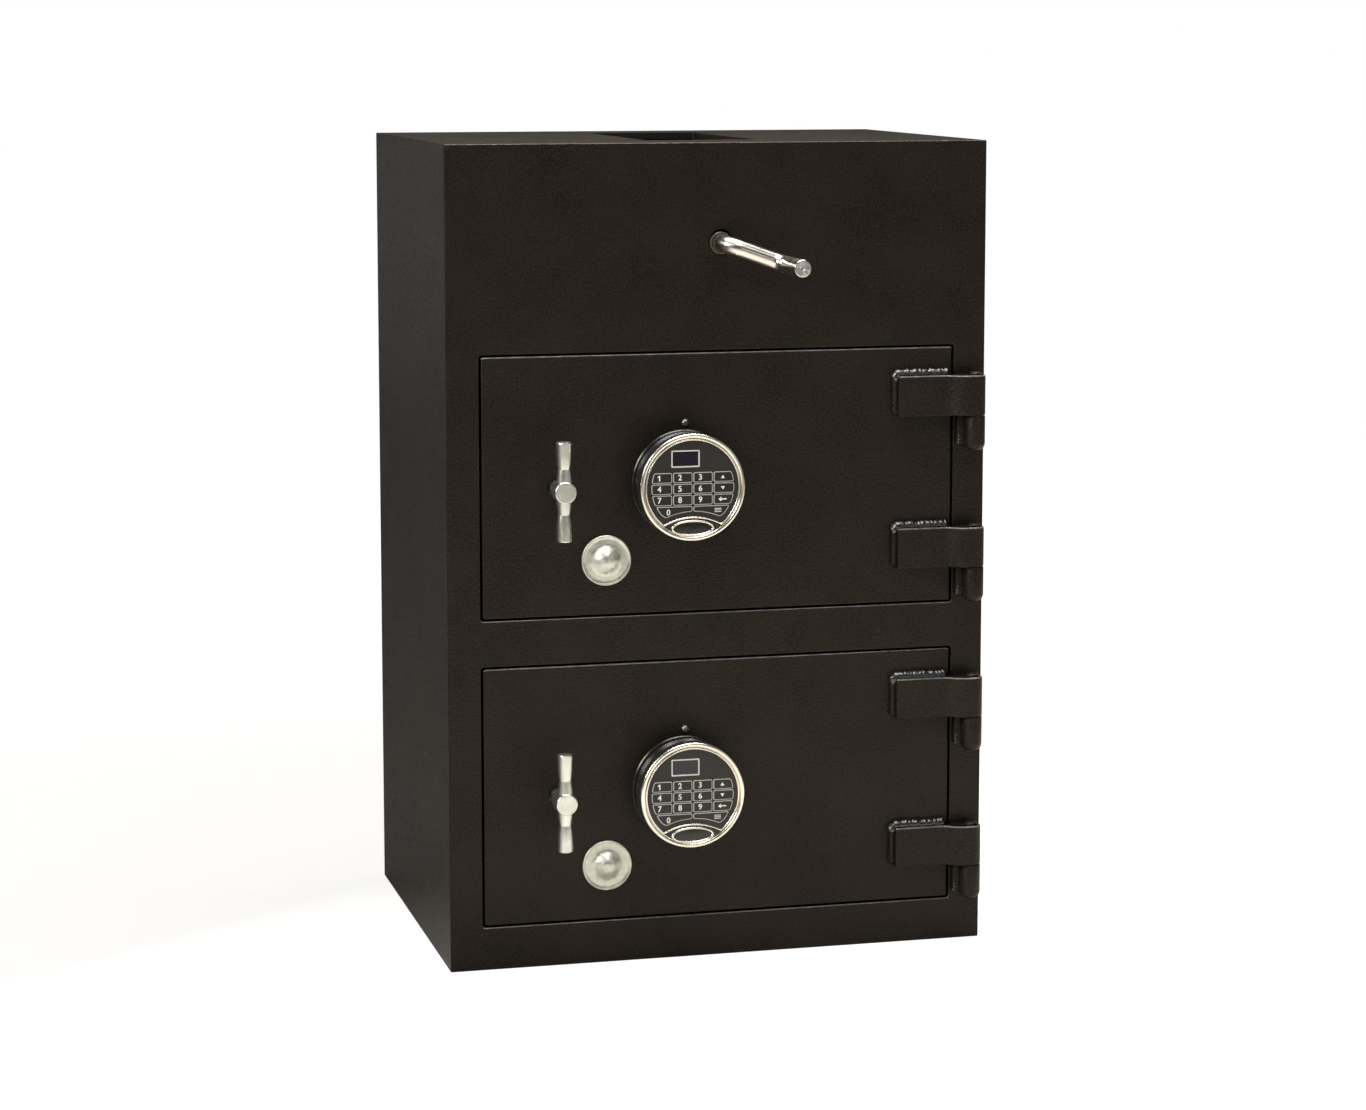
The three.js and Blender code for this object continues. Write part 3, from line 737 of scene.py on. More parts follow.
def makeBarrel(door, place):
    name = f"{door}_hinge_barrel_{place}"
    strapName = f"{door}_hinge_strap_{place}"
    low, high = nodeBox(name)
    pinX, pinY, radius = pinAxis(strapName)
    look = hingeSettings
    foot = low.z + look["barrelFoot"]
    top = nodeBox(strapName)[0].z - look["gap"]
    strapTop = nodeBox(strapName)[1].z
    head = look["headRadius"]
    profile = [
        (0, low.z),
        (radius * 0.55, low.z + 0.4),
        (radius * 0.85, low.z + look["barrelFoot"] * 0.35),
        (radius, foot),
        (radius, top),
        (look["pin"], top),
        (look["pin"], strapTop + look["headRise"]),
        (head, strapTop + look["headRise"]),
        (head * 0.8, strapTop + look["headHeight"] * 0.8),
        (head * 0.4, strapTop + look["headHeight"]),
        (0, strapTop + look["headHeight"]),
    ]
    barrel = turned(profile, "Z", (pinX, pinY, 0), 48)
    softenEdges(barrel, 0.8, 3, angle=20)
    back = min(high.y, nodeBox("front_frame")[0].y)
    leafLow = (pinX - look["leafOuter"], back - look["leafDepth"], foot)
    leaf = blockOf(leafLow, (pinX - look["leafInner"], back, top), 1.0)
    whole = carved(barrel, leaf, "UNION")
    finishPiece(f"{door}_barrel_{place}", whole, [powderCoat], "root", "powder_coat", [name])


# Weld beads: run along a strap's top edge and down its free end, lumpy under the paint
weldSettings = {
    "radius": 5.2,
    "endRadius": 3.5,
    "rise": 1.3,  # bead middle above the strap
    "stand": 1.6,  # bead middle in front of the door
    "outset": 1.2,  # bead middle beside the strap's free end
    "step": 0.7,
    "ripple": 3.1,
    "ripples": 0.025,
    "lumps": 0.14,
    "lumpSize": 3.1,
    "bumps": ((1.3, 0.5), (2.7, 0.8)),  # size and height
    "calm": (0.2, 0.25),  # share of the bumps, and of the lumps, down the free end
    "corner": 4.5,
    "drops": ((-14.4, 11.0, 1.5), (-14.0, 14.2, 1.1), (-14.9, 7.6, 1.2)),  # from the pin, up, radius
    "dropShape": (1, 0.6, 1.3),
    "dropDent": 0.35,
}


def roughen(bead, smoothBelow):
    look = weldSettings
    bead.normal_update()
    for v in bead.verts:
        share = look["calm"][0] if v.co.z < smoothBelow else 1.0
        v.co += v.normal * share * sum(noise.noise(v.co / size) * height for size, height in look["bumps"])
    faceOut(bead)
    for face in bead.faces:
        face.material_index = 1 if face.calc_center_median().z < smoothBelow else 0


def makeWelds(door, place):
    name = f"{door}_hinge_strap_{place}"
    low, high = nodeBox(name)
    look = weldSettings
    seat = high.y - look["stand"]
    corner = look["corner"]
    crest = high.z + look["rise"]
    right = pinAxis(name)[0] - hingeSettings["rampStart"] + 3
    count = int((right - low.x - corner) / look["step"])
    points = [(right - i * look["step"], seat, crest) for i in range(count)]
    left = low.x - look["outset"]
    for i in range(1, 8):  # round the strap's corner
        angle = math.radians(90 + i * 90 / 8)
        x = left + corner * (1 + math.cos(angle))
        points.append((x, seat, crest - corner * (1 - math.sin(angle))))
    down = int((high.z - low.z - corner) / look["step"])
    radii = [look["radius"]] * len(points) + [look["endRadius"]] * down
    points += [(left, seat, high.z - corner - i * look["step"]) for i in range(down)]
    for i, point in enumerate(points):
        wave = math.sin(2 * math.pi * i * look["step"] / look["ripple"])
        lump = noise.noise(Vector(point) / look["lumpSize"])
        fade = min(1, (i + 1) / 4, (len(points) - i) / 5)
        strength = 1.0 if i < len(points) - down else look["calm"][1]
        radii[i] *= fade * (1 + strength * (look["ripples"] * wave + look["lumps"] * lump))
    bead = wireOf(points, radii=radii)
    roughen(bead, high.z - corner)
    finishOnDoor(door, f"hinge_weld_{place}", bead, [weldCoat, powderCoat], "powder_coat", sharp=80)


def makeSpatter(door, place):  # drops beside the barrel's foot
    low = nodeBox(f"{door}_hinge_barrel_{place}")[0]
    pinX = pinAxis(f"{door}_hinge_strap_{place}")[0]
    leafFront = nodeBox("front_frame")[0].y - hingeSettings["leafDepth"]
    look = weldSettings
    drops = []
    for x, z, radius in look["drops"]:
        drop = bmesh.new()
        bmesh.ops.create_icosphere(drop, subdivisions=2, radius=radius)
        for v in drop.verts:
            v.co += v.normal * look["dropDent"] * noise.noise(v.co + Vector((x, 0, z)))
        bmesh.ops.scale(drop, vec=look["dropShape"], verts=drop.verts)
        moveBy(drop, (pinX + x, leafFront + 0.2, low.z + z))
        drops.append(drop)
    name = f"{door}_hinge_spatter_{place}"
    finishPiece(name, joined(drops), [weldCoat], "root", "powder_coat", sharp=80)


for door in doors:
    for place in ("top", "bottom"):
        makeStrap(door, place)
        makeBarrel(door, place)
        makeWelds(door, place)
        makeSpatter(door, place)
print("hinges and welds made")


# Keypad: ribbed housing, chrome ring, film face with raised keys, display window and a bare oval badge
keypadSettings = {
    "lip": 1.6,  # flange against the door
    "step": 0.9,  # from the flange in to the housing
    "ribs": 5,
    "ribDepth": 0.5,
    "ringInner": 45.3,
    "ringCrown": 1.7,
    "groove": 44.9,
    "trimRadius": 43.9,
    "trimThickness": 0.85,
    "trimTip": 26.9,  # half width of the arc under the keys
    "keyCircle": 39.0,
    "keyTop": 13.9,
    "keyHeight": 9.4,
    "keyPitch": 10.35,
    "columnEdge": 0.55,
    "columnPitch": 19.15,
    "keyWidth": 18.05,
    "keyLine": 0.7,
    "keyCorner": 1.6,
    "keyRise": 0.35,
    "keySheet": 0.4,
    "wideFoot": (25.6, -27.8),  # lowest outer corner of the two wide keys
    "wideGap": 5.4,  # from the wide keys down to the arc
    "arcPeak": -27.7,
    "arcRadius": 57.0,
    "badge": (19.2, 6.6, -37.6),  # half width and half height to the middle of the rim, place
    "badgeRim": 1.15,
    "display": (-20.3, 6.4, 18.6, 34.4),
    "displayCorner": 1.1,
    "displayRim": 1.15,
    "displayStep": (0.15, 0.3),  # width and depth of the step from the rim down to the window
    "displaySheet": 0.45,
    "digitSize": 7.4,
    "digitColumns": (-31.6, -12.2, 7.0),
    "zero": (-23.2, -22.6),
    "signColumn": 28.2,
    "ink": 0.12,  # thickness of the print
    "inkPlace": 0.62,  # in front of the panel
    "sink": 0.05,  # how far keys, display and badge go into the panel
    "one": ((-0.5, -2.6), (0.7, -2.6), (0.7, 2.6), (-0.2, 2.6), (-1.8, 1.5), (-1.8, 0.5), (-0.5, 1.1)),
    "arrow": ((-1.9, -1.5), (1.9, -1.5), (0, 1.7)),
    "back": ((-4.2, 0), (-1.4, 2.2), (-1.4, 0.6), (3.6, 0.6), (3.6, -0.6), (-1.4, -0.6), (-1.4, -2.2)),
    "bars": (20.4, 26.8, -20.3, 1.5, 0.6),  # left, right, highest, pitch, thickness
}


def arcBelow(x, offset=0):  # height of the chrome arc under the keys, or of a line beside it
    radius = keypadSettings["arcRadius"] - offset
    centre = keypadSettings["arcPeak"] - keypadSettings["arcRadius"]
    return centre + math.sqrt(radius * radius - x * x)


def keyRim(top, bottom, circle):  # the round outer side of a key
    steps = [top + (bottom - top) * i / 4 for i in range(5)]
    return [(math.sqrt(circle ** 2 - z * z), z) for z in steps]


def keyOutlines():
    look = keypadSettings
    edge = look["columnEdge"]
    outer = edge + look["keyWidth"]
    inner = edge + look["columnPitch"]
    keys = []
    for row in range(3):
        top = look["keyTop"] - row * look["keyPitch"]
        bottom = top - look["keyHeight"]
        square = [(edge, top), (outer, top), (outer, bottom), (edge, bottom)]
        rounded = [(inner, top)] + keyRim(top, bottom, look["keyCircle"]) + [(inner, bottom)]
        for side, points in ((-1, rounded), (-1, square), (1, square), (1, rounded)):
            keys.append([(side * x, z) for x, z in points])
    top = look["keyTop"] - 3 * look["keyPitch"]
    rim = keyRim(top, look["wideFoot"][1] + 0.4, look["keyCircle"] - 0.3)
    floor = [(x, arcBelow(x, -look["wideGap"])) for x in (21, 16, 11, 6, edge)]
    points = [(edge, top)] + rim[:-1] + [look["wideFoot"]] + floor
    for side in (-1, 1):
        keys.append([(side * x, z) for x, z in points])
    return keys


def makeKeys(door, middle, front):
    look = keypadSettings
    bm = bmesh.new()
    for points in keyOutlines():
        face = bm.faces.new([bm.verts.new((x, 0, z)) for x, z in points])
        face.normal_update()
        if face.normal.y > 0:
            face.normal_flip()
    sharpCorners = [v for v in bm.verts if v.calc_edge_angle(0) > math.radians(35)]
    roundCorners(bm, look["keyCorner"], 4, sharpCorners)
    pads = bm.faces[:]
    bmesh.ops.inset_individual(bm, faces=pads, thickness=look["keyLine"], depth=0)
    for face in bm.faces:
        face.material_index = 0
    for face in pads:
        face.material_index = 1
    caps = bmesh.ops.extrude_discrete_faces(bm, faces=pads)["faces"]
    capVerts = list({v for face in caps for v in face.verts})
    moveBy(bm, (0, -look["keyRise"], 0), capVerts)
    thicken(bm, (0, -look["keySheet"], 0))
    moveBy(bm, (middle.x, front, middle.z))
    finishOnDoor(door, "keypad_keys", bm, [lineInk, keyFilm], "keypad_overlay", sharp=15)


def digitShape(text, x, z, front):
    curve = bpy.data.curves.new("print", "FONT")
    curve.body = text
    curve.size = keypadSettings["digitSize"]
    curve.align_x = "CENTER"
    curve.align_y = "CENTER"
    curve.extrude = keypadSettings["ink"]
    curve.offset = 0.16  # makes the digits bold
    curve.resolution_u = 4
    bm = meshOfCurve(curve)
    turnBy(bm, 90, "X")
    moveBy(bm, (x, front, z))
    return bm


def signShape(points, x, z, front, up=1):
    bm = flatOutline([(x + a, z + b * up) for a, b in points], front)
    thicken(bm, (0, -keypadSettings["ink"], 0))
    return bm


def makePrint(door, middle, front):
    look = keypadSettings
    rows = [middle.z + look["keyTop"] - look["keyHeight"] / 2 - row * look["keyPitch"] for row in range(3)]
    columns = [middle.x + x for x in look["digitColumns"]]
    signs = middle.x + look["signColumn"]
    parts = [signShape(look["one"], columns[0], rows[0], front)]
    for index in range(1, 9):
        row, column = divmod(index, 3)
        parts.append(digitShape(str(index + 1), columns[column], rows[row], front))
    parts.append(digitShape("0", middle.x + look["zero"][0], middle.z + look["zero"][1], front))
    parts.append(signShape(look["arrow"], signs, rows[0], front))
    parts.append(signShape(look["arrow"], signs, rows[1], front, -1))
    parts.append(signShape(look["back"], signs, rows[2], front))
    left, right, highest, pitch, thickness = look["bars"]
    for i in range(3):
        z = middle.z + highest - i * pitch
        low = (middle.x + left, front - look["ink"], z)
        parts.append(blockOf(low, (middle.x + right, front, z + thickness)))
    finishOnDoor(door, "keypad_print", joined(parts), [digitInk], "keypad_overlay")


def makeTrim(door, middle, front):  # the thin chrome line: round the face, then across under the keys
    look = keypadSettings
    tip = look["trimTip"]
    start = math.atan2(arcBelow(tip), tip)
    sweep = math.pi - 2 * start
    angles = [start + sweep * i / 96 for i in range(97)]
    places = [(look["trimRadius"] * math.cos(a), look["trimRadius"] * math.sin(a)) for a in angles]
    across = [-tip + 2 * tip * i / 24 for i in range(1, 24)]
    places += [(x, arcBelow(x)) for x in across]
    outline = [(middle.x + x, front, middle.z + z) for x, z in places]
    trim = wireOf(outline, look["trimThickness"], closed=True)
    finishOnDoor(door, "keypad_trim", trim, [chrome], "chrome_trim", sharp=80)


def makeBadge(door, middle, front):
    halfWidth, halfHeight, place = keypadSettings["badge"]
    at = Vector((middle.x, front, middle.z + place))
    angles = [2 * math.pi * i / 96 for i in range(96)]
    outline = [at + Vector((halfWidth * math.cos(a), 0, halfHeight * math.sin(a))) for a in angles]
    rim = wireOf(outline, keypadSettings["badgeRim"], closed=True)
    finishOnDoor(door, "keypad_badge_rim", rim, [chrome], "chrome_trim", sharp=80)
    dome = turned([(0, -0.75), (0.45, -0.7), (0.95, -0.3), (0.95, 0), (0, 0)], "Y", (0, 0, 0), 72)
    bmesh.ops.scale(dome, vec=(halfWidth, 1, halfHeight), verts=dome.verts)
    moveBy(dome, at)
    finishOnDoor(door, "keypad_badge_blank", dome, [blackPlastic], "black_plastic")


def makeDisplay(door, middle, front):
    look = keypadSettings
    left, right, bottom, top = look["display"]
    corners = ((left, bottom), (right, bottom), (right, top), (left, top))
    bm = flatOutline([(middle.x + x, middle.z + z) for x, z in corners], front)
    roundCorners(bm, look["displayCorner"], 4)
    window = bm.faces[:]
    bmesh.ops.inset_individual(bm, faces=window, thickness=look["displayRim"], depth=0)
    width, depth = look["displayStep"]
    bmesh.ops.inset_individual(bm, faces=window, thickness=width, depth=-depth)
    for face in window:
        face.material_index = 1
    thicken(bm, (0, -look["displaySheet"], 0))
    finishOnDoor(door, "keypad_display", bm, [lineInk, displayGlass], "keypad_overlay", sharp=15)


def makeHousing(door, radius):
    look = keypadSettings
    low, high = nodeBox(door + "_keypad_base")
    wall = radius - look["step"]
    profile = [(0, high.y), (radius, high.y), (radius, high.y - look["lip"])]
    profile.append((wall, high.y - look["lip"] - look["step"]))
    ribStart = high.y - (high.y - low.y) * 0.45
    pitch = (ribStart - low.y - 0.6) / look["ribs"]
    for i in range(look["ribs"]):
        at = ribStart - i * pitch
        valley = wall - look["ribDepth"]
        profile += [(wall, at), (valley, at - pitch * 0.25), (valley, at - pitch * 0.5)]
        profile.append((wall, at - pitch * 0.75))
    profile += [(wall, low.y), (0, low.y)]
    base = turned(profile, "Y", axisOf(door + "_keypad_bezel"), 96)
    finishOnDoor(door, "keypad_housing", base, [blackPlastic], "black_plastic", "keypad_base", sharp=20)


def makeRing(door, radius):
    look = keypadSettings
    low, high = nodeBox(door + "_keypad_bezel")
    bulge = (radius - look["ringInner"]) / 2
    crown = look["ringCrown"]
    ledge = low.y + crown + 0.8
    angles = [math.radians(15 * i) for i in range(13)]
    arc = [(radius - bulge + bulge * math.cos(a), low.y + crown - crown * math.sin(a)) for a in angles]
    seat = look["groove"] - 1
    profile = [(radius, high.y)] + arc + [(look["ringInner"], ledge), (seat, ledge), (seat, high.y)]
    ring = turned(profile, "Y", axisOf(door + "_keypad_bezel"), 128, closed=True)
    finishOnDoor(door, "keypad_ring", ring, [chrome], "chrome_trim", "keypad_bezel", sharp=55)


def makeKeypad(door):
    low, high = nodeBox(door + "_keypad_face")
    radius = radiusOf(door + "_keypad_bezel")
    middle = axisOf(door + "_keypad_bezel")
    makeHousing(door, radius)
    makeRing(door, radius)
    look = keypadSettings
    edge = look["groove"]
    panel = turned(
        [(0, low.y), (edge - 0.6, low.y), (edge - 0.1, low.y + 0.5), (edge - 1.1, low.y + 1.7),
         (edge - 1.1, high.y), (0, high.y)],
        "Y", middle, 96,
    )
    finishOnDoor(door, "keypad_panel", panel, [overlayFilm], "keypad_overlay", "keypad_face")
    makeTrim(door, middle, low.y)
    seat = low.y + look["sink"]
    makeKeys(door, middle, seat)
    makePrint(door, middle, low.y - look["inkPlace"])
    makeDisplay(door, middle, seat)
    makeBadge(door, middle, seat)


for door in doors:
    makeKeypad(door)
print("keypads made")


# Handle: a cross bar with a waist, through a round hub
handleSettings = {
    "hubRadius": 10,
    "hubEdge": 1.2,
    "shoulder": 7.5,  # from the bar's axis back to the end of the hub
    "neck": 6.6,
    "bar": (  # radius and distance from the hub's middle
        (7.0, 0), (7.0, 10), (5.6, 20.8), (6.4, 26), (6.75, 34), (6.95, 44.4), (6.7, 45.2), (6.1, 45.5),
    ),
}


def barPlace(grip):  # the bar's axis: the middle of the grip's vertices at its upper end
    top = nodeBox(grip)[1].z
    ends = [v.co.y * 1000 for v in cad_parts[grip].data.vertices if v.co.z * 1000 > top - 2]
    return (min(ends) + max(ends)) / 2


def makeHandle(door):
    grip = door + "_handle_grip"
    low, high = nodeBox(grip)
    middle = axisOf(door + "_handle_spindle")
    look = handleSettings
    radius, neck = look["hubRadius"], look["neck"]
    barY = barPlace(grip)
    shoulder = barY + look["shoulder"]
    hub = turned(
        [(0, low.y), (radius, low.y), (radius, shoulder), (neck, shoulder + 2.5), (neck, high.y),
         (0, high.y)],
        "Y", middle, 64,
    )
    softenEdges(hub, look["hubEdge"], 3, angle=60)
    side = list(look["bar"]) + [(0, look["bar"][-1][1])]
    outline = [(r, -along) for r, along in reversed(side[1:])] + side
    bar = turned(outline, "Z", (middle.x, barY, middle.z), 56)
    whole = carved(hub, bar, "UNION")
    finishPiece(f"{door}_handle", whole, [satinNickel], door + "_handle", "satin_nickel", [grip], sharp=13)


for door in doors:
    makeHandle(door)
print("handles made")


# Plug of the spare lock hole: a dished washer with a rolled rim and a domed bolt head
plugSettings = {
    "hole": 5.4,
    "rim": ((0, 0.7), (0.4, 0.15), (1.1, 0), (1.7, 0.3), (2.3, 0.9), (4.5, 0.8)),  # inwards, backwards
    "dish": (15.5, 0.45),  # radius, backwards
    "skirt": 1.6,  # how far the head's thin edge runs past its dome
    "shank": 5.0,
    "dent": 0.4,
    "dentSize": 4.5,
}


def makePlug(door):
    look = plugSettings
    low, high = nodeBox(door + "_plug_washer")
    middle = axisOf(door + "_plug_washer")
    radius = radiusOf(door + "_plug_washer")
    hole, dish = look["hole"], look["dish"]
    rim = [(radius - inwards, low.y + back) for inwards, back in look["rim"]]
    back = [(hole, high.y), (radius - 0.3, high.y), (radius, high.y - 0.6)]
    front = [(dish[0], low.y + dish[1]), (hole, low.y + 0.3)]
    washer = turned(back + rim + front, "Y", middle, 96, closed=True)
    finishOnDoor(door, "plug_plate", washer, [zincPlate], "zinc_plate", "plug_washer", sharp=60)
    low, high = nodeBox(door + "_plug_bolt")
    reach = radiusOf(door + "_plug_bolt") + look["skirt"]
    seat = nodeBox(door + "_plug_washer")[0].y + 0.5
    height = seat - low.y
    shares = [i / 14 for i in range(1, 15)]  # a low dome whose skirt runs out into the washer
    dome = [(reach * s, seat - height * (math.cos(math.pi * s ** 1.35) + 1) / 2) for s in shares]
    shank = look["shank"]
    stem = [(reach, seat + 0.3), (shank, seat + 0.3), (shank, high.y - 0.8), (shank - 0.8, high.y)]
    bolt = turned([(0, low.y)] + dome + stem + [(0, high.y)], "Y", middle, 72)
    for v in bolt.verts:
        if v.co.y < seat - 0.4:
            v.co.y += look["dent"] * noise.noise(v.co / look["dentSize"])
    finishOnDoor(door, "plug_head", bolt, [zincPlate], "zinc_plate", "plug_bolt", sharp=60)


# Small socket screw above the keypad
screwSettings = {
    "radius": 3.7,
    "height": 2.4,
    "shank": 2.4,
    "length": 6,
    "socket": 2.1,
    "depth": 2.0,
    "rise": 55.6,
    "right": 1.3,
}


def makeScrew(door):
    look = screwSettings
    keypad = nodeMiddle(door + "_keypad_base")
    front = nodeBox(door + "_door_plate")[0].y
    middle = Vector((keypad.x + look["right"], front, keypad.z + look["rise"]))
    radius, height, shank = look["radius"], look["height"], look["shank"]
    head = turned(
        [(0, -height), (radius * 0.6, -height), (radius * 0.88, -height * 0.6), (radius, -0.1),
         (radius, 0.2), (shank, 0.2), (shank, look["length"]), (0, look["length"])],
        "Y", middle, 40,
    )
    socket = bmesh.new()
    bmesh.ops.create_cone(
        socket, cap_ends=True, segments=6, radius1=look["socket"], radius2=look["socket"],
        depth=2 * look["depth"],
    )
    layAlong(socket, "Y", middle + Vector((0, -height, 0)))
    finishOnDoor(door, "cover_screw", carved(head, socket), [machinedSteel], "machined_steel")


for door in doors:
    makePlug(door)
    makeScrew(door)
print("plugs and screws made")


# Crank: one buffed rod with two round bends and a turned end
crankSettings = {
    "radius": 7.95,
    "reach": 25,  # from the front face to the middle of the arm
    "arm": 56.5,
    "drop": 19.5,
    "bend": 13,
    "endEdge": 0.9,
    "rings": (  # width and depth of each step of the faced end, from its rim inwards
        (1.0, 0.0), (0.35, 0.3), (0.35, -0.3), (0.7, 0.0), (0.35, 0.3), (0.35, -0.3),
        (0.7, 0.0), (0.35, 0.3), (0.35, -0.3), (0.8, 0.0), (0.5, 0.5),
    ),
}


def openEdges(geometry):
    return [g for g in geometry if isinstance(g, bmesh.types.BMEdge) and g.is_boundary]


def makeCrank():
    low, high = nodeBox("crank_handle")
    shaft = nodeMiddle("hopper_front_bushing")
    look = crankSettings
    armY = nodeBox("front_frame")[0].y - look["reach"]
    bend = look["bend"]
    bm = bmesh.new()
    bmesh.ops.create_circle(bm, cap_ends=False, segments=48, radius=look["radius"])
    layAlong(bm, "Y", (0, high.y, 0))

    def push(edges, step):
        grown = bmesh.ops.extrude_edge_only(bm, edges=edges)["geom"]
        moveBy(bm, step, onlyVerts(grown))
        return openEdges(grown)

    def bendRound(edges, centre, angle):
        verts = list({v for e in edges for v in e.verts})
        last = bmesh.ops.spin(
            bm, geom=verts + edges, cent=centre, axis=(0, 0, 1), angle=math.radians(angle), steps=14,
        )["geom_last"]
        return openEdges(last)

    ring = push(bm.edges[:], (0, armY + bend - high.y, 0))
    ring = bendRound(ring, (bend, armY + bend, 0), 90)
    ring = push(ring, (look["arm"] - 2 * bend, 0, 0))
    ring = bendRound(ring, (look["arm"] - bend, armY - bend, 0), -90)
    ring = push(ring, (0, low.y - armY + bend, 0))
    bmesh.ops.contextual_create(bm, geom=ring)
    bmesh.ops.holes_fill(bm, edges=bm.edges, sides=0)
    faceOut(bm)
    softenEdges(bm, look["endEdge"], 3, angle=60)
    endFace = min((f for f in bm.faces if len(f.verts) > 20), key=lambda f: f.calc_center_median().y)
    endFace.material_index = 1
    for thickness, depth in look["rings"]:
        bmesh.ops.inset_region(bm, faces=[endFace], thickness=thickness, depth=-depth)
    turnBy(bm, look["drop"], "Y")
    moveBy(bm, (0, 0, shaft.z))
    looks = [polishedStainless, facedStainless]
    finishPiece("crank_rod", bm, looks, "hopper", "polished_stainless", ["crank_handle"])


def makeSleeve(node, name, material, slotName, lip):
    low, high = nodeBox(node)
    radius = radiusOf(node)
    bore = radius - 2
    half = (high.y - low.y) / 2
    sleeve = turned(
        [(bore, -half + lip), (bore + lip, -half), (radius - lip, -half), (radius, -half + lip),
         (radius, half - lip), (radius - lip, half), (bore + lip, half), (bore, half - lip)],
        "Y", nodeMiddle(node), 64, closed=True,
    )
    finishPiece(name, sleeve, [material], "root", slotName, [node], sharp=60)


hopperSettings = {
    "shell": 3,
    "mouth": (140, 260),  # where the shell starts, and how far it runs round, in degrees
    "shellEdge": 0.8,
    "edge": 0.7,
}


def makeHopper():
    look = hopperSettings
    low, high = nodeBox("hopper_drum_shell")
    axis = axisOf("hopper_front_bushing")
    outer = radiusOf("hopper_drum_shell")
    shell = sweptSector(outer - look["shell"], outer, low.y, high.y, *look["mouth"], axis, 96)
    softenEdges(shell, look["shellEdge"], 2, angle=60)
    finishPiece("drum_shell", shell, [powderCoat], "hopper", "powder_coat", ["hopper_drum_shell"])
    for name in ("front_disc", "rear_disc"):
        node = "hopper_" + name
        disc = pinOf(node, axis, outer, look["edge"], 96)
        finishPiece("drum_" + name, disc, [powderCoat], "hopper", "powder_coat", [node])
    for name in ("stub_shaft", "stop_pin"):
        node = "hopper_" + name
        pin = pinOf(node, axisOf(node), radiusOf(node), look["edge"])
        finishPiece("drum_" + name, pin, [machinedSteel], "hopper", "machined_steel", [node])
    makeSleeve("hopper_front_bushing", "front_bushing", oiledSteel, "machined_steel", 0.4)
    makeSleeve("hopper_rear_bushing", "rear_bushing", bronze, "bronze", 0.5)


makeCrank()
makeHopper()
print("crank and hopper made")


# Boltwork: five pieces with the CAD shape and broken edges, two round bolts and the handle's spindle
boltworkPieces = (  # node, name, material, body, slot, edge
    ("bolt_guide", "guide_bar", machinedSteel, "door", "machined_steel", 0.6),
    ("bolt_bar", "bar_plate", machinedSteel, "boltwork", "machined_steel", 0.5),
    ("lock_case", "lock_body", lockCasting, "door", "lock_casting", 1.5),
    ("back_cover", "sheet_cover", powderCoat, "door", "powder_coat", 0.5),
    ("lock_bolt", "lock_latch", bronze, "lock", "bronze", 0.6),
)


def makeBoltwork(door):
    for node, name, material, body, slotName, edge in boltworkPieces:
        bm = copyOf(f"{door}_{node}")
        softenEdges(bm, edge, 2, angle=50)
        finishPiece(
            f"{door}_{name}", bm, [material], f"{door}_{body}", slotName, [f"{door}_{node}"],
            flatFaces=True,
        )
    for place in ("top", "bottom"):
        node = f"{door}_locking_bolt_{place}"
        low, high = nodeBox(node)
        middle = nodeMiddle(node)
        radius = (high.z - low.z) / 2
        nose = 2.5
        profile = [(0, low.x), (radius - nose, low.x), (radius, low.x + nose), (radius, high.x)]
        bolt = turned(profile + [(0, high.x)], "X", (0, middle.y, middle.z), 56)
        softenEdges(bolt, 0.6, 2, angle=40)
        name = f"{door}_bolt_{place}"
        finishPiece(name, bolt, [polishedStainless], door + "_boltwork", "polished_stainless", [node])
    node = door + "_handle_spindle"
    spindle = pinOf(node, axisOf(node), radiusOf(node), 0.5)
    finishPiece(f"{door}_spindle", spindle, [machinedSteel], door + "_handle", "machined_steel", [node])


for door in doors:
    makeBoltwork(door)
print("boltwork made")


# The other nodes keep their shape and take their finish
for name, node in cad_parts.items():
    bare = name.endswith("handle_cam") or name == "hopper_stop_sector"
    for slot in node.material_slots:
        slot.material = machinedSteel if bare else powderCoat
print("nodes dressed")


# Plain pale floor, painted darker towards the back left as painted shade, a dim room and soft lights; the
# backdrop is white to the camera alone
studioSettings = {
    "floorFront": "#cbc7bf",
    "floorPaintedShade": "#403e3b",
    "floorSize": 40,
    "floorTurn": (0.6, -0.8, 0),  # from the floor's painted shade to its pale part
    "floorBlend": (-0.3, 0.2),  # metres from the safe, from painted shade to pale
    "glowBlend": (0.4, 2.4),  # metres from the safe
    "glow": (0.8, 1.0),  # the paper's own light, near and far
    "warm": "#fffcf7",
    "room": 0.05,
    "lights": (  # name, place, size, power, what it points at
        ("key softbox", (-2.9, -1.2, 1.9), (1.2, 1.2), 76, (0, 0, 0.4)),
        ("high softbox", (-1.9, -2.4, 2.3), (0.8, 0.8), 5, (0, 0, 0.4)),
        ("front softbox", (0.4, -1.9, 2.6), (2.0, 0.8), 14, (0, -0.2, 0.4)),
        ("top softbox", (-0.1, -0.1, 2.7), (2.0, 1.8), 118, (0, 0, 0.4)),
        ("floor softbox", (0.2, 0.2, 2.6), (2.0, 1.0), 82, (0.2, -1.0, 0)),
        ("back left panel", (-2.4, 3.4, 0.7), (1.4, 1.4), 5.4, (0, 0, 0.4)),
        ("right fill", (2.6, -2.6, 1.3), (1.0, 1.6), 5, (0, 0, 0.4)),
        ("front right panel", (1.1, -4.4, 1.2), (0.7, 0.7), 2.6, (0, 0, 0.4)),
        ("back right panel", (2.6, 2.4, 1.0), (1.0, 1.4), 8, (0, 0, 0.4)),
        ("back low panel", (0.6, 3.0, 0.45), (1.8, 0.5), 8, (0, 0, 0.45)),
    ),
}


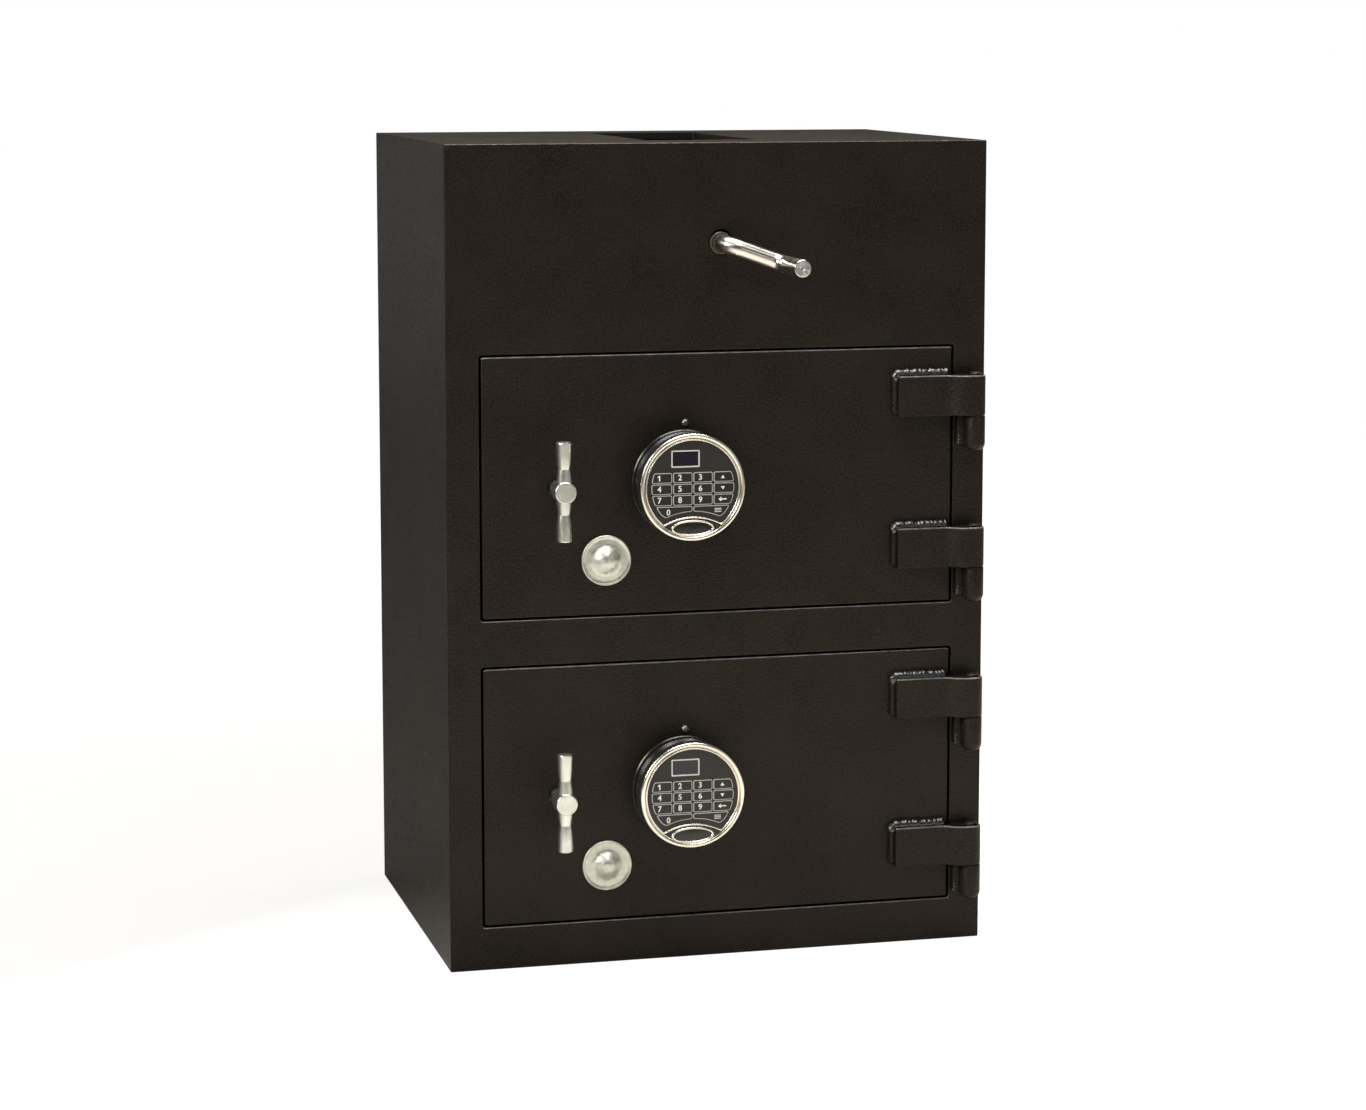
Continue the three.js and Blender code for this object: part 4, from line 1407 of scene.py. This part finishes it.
def addLight(name, place, size, power, aim):
    data = bpy.data.lights.new(name, "AREA")
    data.shape = "RECTANGLE"
    data.size, data.size_y = size
    data.energy = power
    data.color = toLinear(studioSettings["warm"])[:3]
    light = bpy.data.objects.new(name, data)
    light.location = place
    light.rotation_euler = (Vector(aim) - Vector(place)).to_track_quat("-Z", "Y").to_euler()
    light.visible_camera = False
    bpy.context.scene.collection.objects.link(light)


def makeFloor():
    look = studioSettings
    bm = bmesh.new()
    bmesh.ops.create_grid(bm, x_segments=1, y_segments=1, size=look["floorSize"] / 2)
    mesh = bpy.data.meshes.new("floor")
    bm.to_mesh(mesh)
    bm.free()
    floor = bpy.data.objects.new("floor", mesh)
    floor.location.z = -0.0005
    bpy.context.scene.collection.objects.link(floor)
    paper = makeFinish("pale paper floor", {
        "colours": (look["floorPaintedShade"], look["floorFront"], 40), "roughness": (0.85, 0.95, 40),
    })
    tree = paper.node_tree
    shader = tree.nodes["Principled BSDF"]
    place = tree.nodes["Texture Coordinate"].outputs["Object"]
    # painted shade: the floor's colour darkens towards the back left, as if less light fell there
    forward = addNode(tree, "VectorMath", {1: look["floorTurn"]}, {0: place}, operation="DOT_PRODUCT")
    start, end = look["floorBlend"]
    values = {"From Min": start, "From Max": end}
    spread = addNode(tree, "MapRange", values, {"Value": forward.outputs["Value"]})
    colours = {6: toLinear(look["floorPaintedShade"]), 7: toLinear(look["floorFront"])}
    mixed = addNode(tree, "Mix", colours, {0: spread.outputs[0]}, data_type="RGBA")
    tree.links.new(mixed.outputs[2], shader.inputs["Base Color"])
    away = addNode(tree, "VectorMath", None, {0: place}, operation="LENGTH")
    start, end = look["glowBlend"]
    near, far = look["glow"]  # the paper brightens away from the safe and meets the white backdrop
    values = {"From Min": start, "From Max": end, "To Min": near, "To Max": far}
    links = {"Value": away.outputs["Value"]}
    glow = addNode(tree, "MapRange", values, links, interpolation_type="SMOOTHSTEP")
    seen = addNode(tree, "LightPath").outputs["Is Camera Ray"]
    strength = addNode(tree, "Math", None, {0: glow.outputs[0], 1: seen}, operation="MULTIPLY")
    shader.inputs["Emission Color"].default_value = (1, 1, 1, 1)
    tree.links.new(strength.outputs[0], shader.inputs["Emission Strength"])
    mesh.materials.append(paper)


def makeStudio():
    look = studioSettings
    world = bpy.data.worlds.new("studio")
    world.use_nodes = True
    bpy.context.scene.world = world
    tree = world.node_tree
    tree.nodes.clear()
    warm = toLinear(look["warm"])
    room = addNode(tree, "Background", {"Color": warm, "Strength": look["room"]})
    seen = addNode(tree, "Background", {"Color": (1, 1, 1, 1), "Strength": 1.0})
    path = addNode(tree, "LightPath")
    inputs = {0: path.outputs["Is Camera Ray"], 1: room.outputs[0], 2: seen.outputs[0]}
    mix = addNode(tree, "MixShader", None, inputs)
    addNode(tree, "OutputWorld", None, {0: mix.outputs[0]})
    for light in look["lights"]:
        addLight(*light)


bpy.context.scene.view_settings.view_transform = "Standard"
makeFloor()
makeStudio()
print("studio lit")
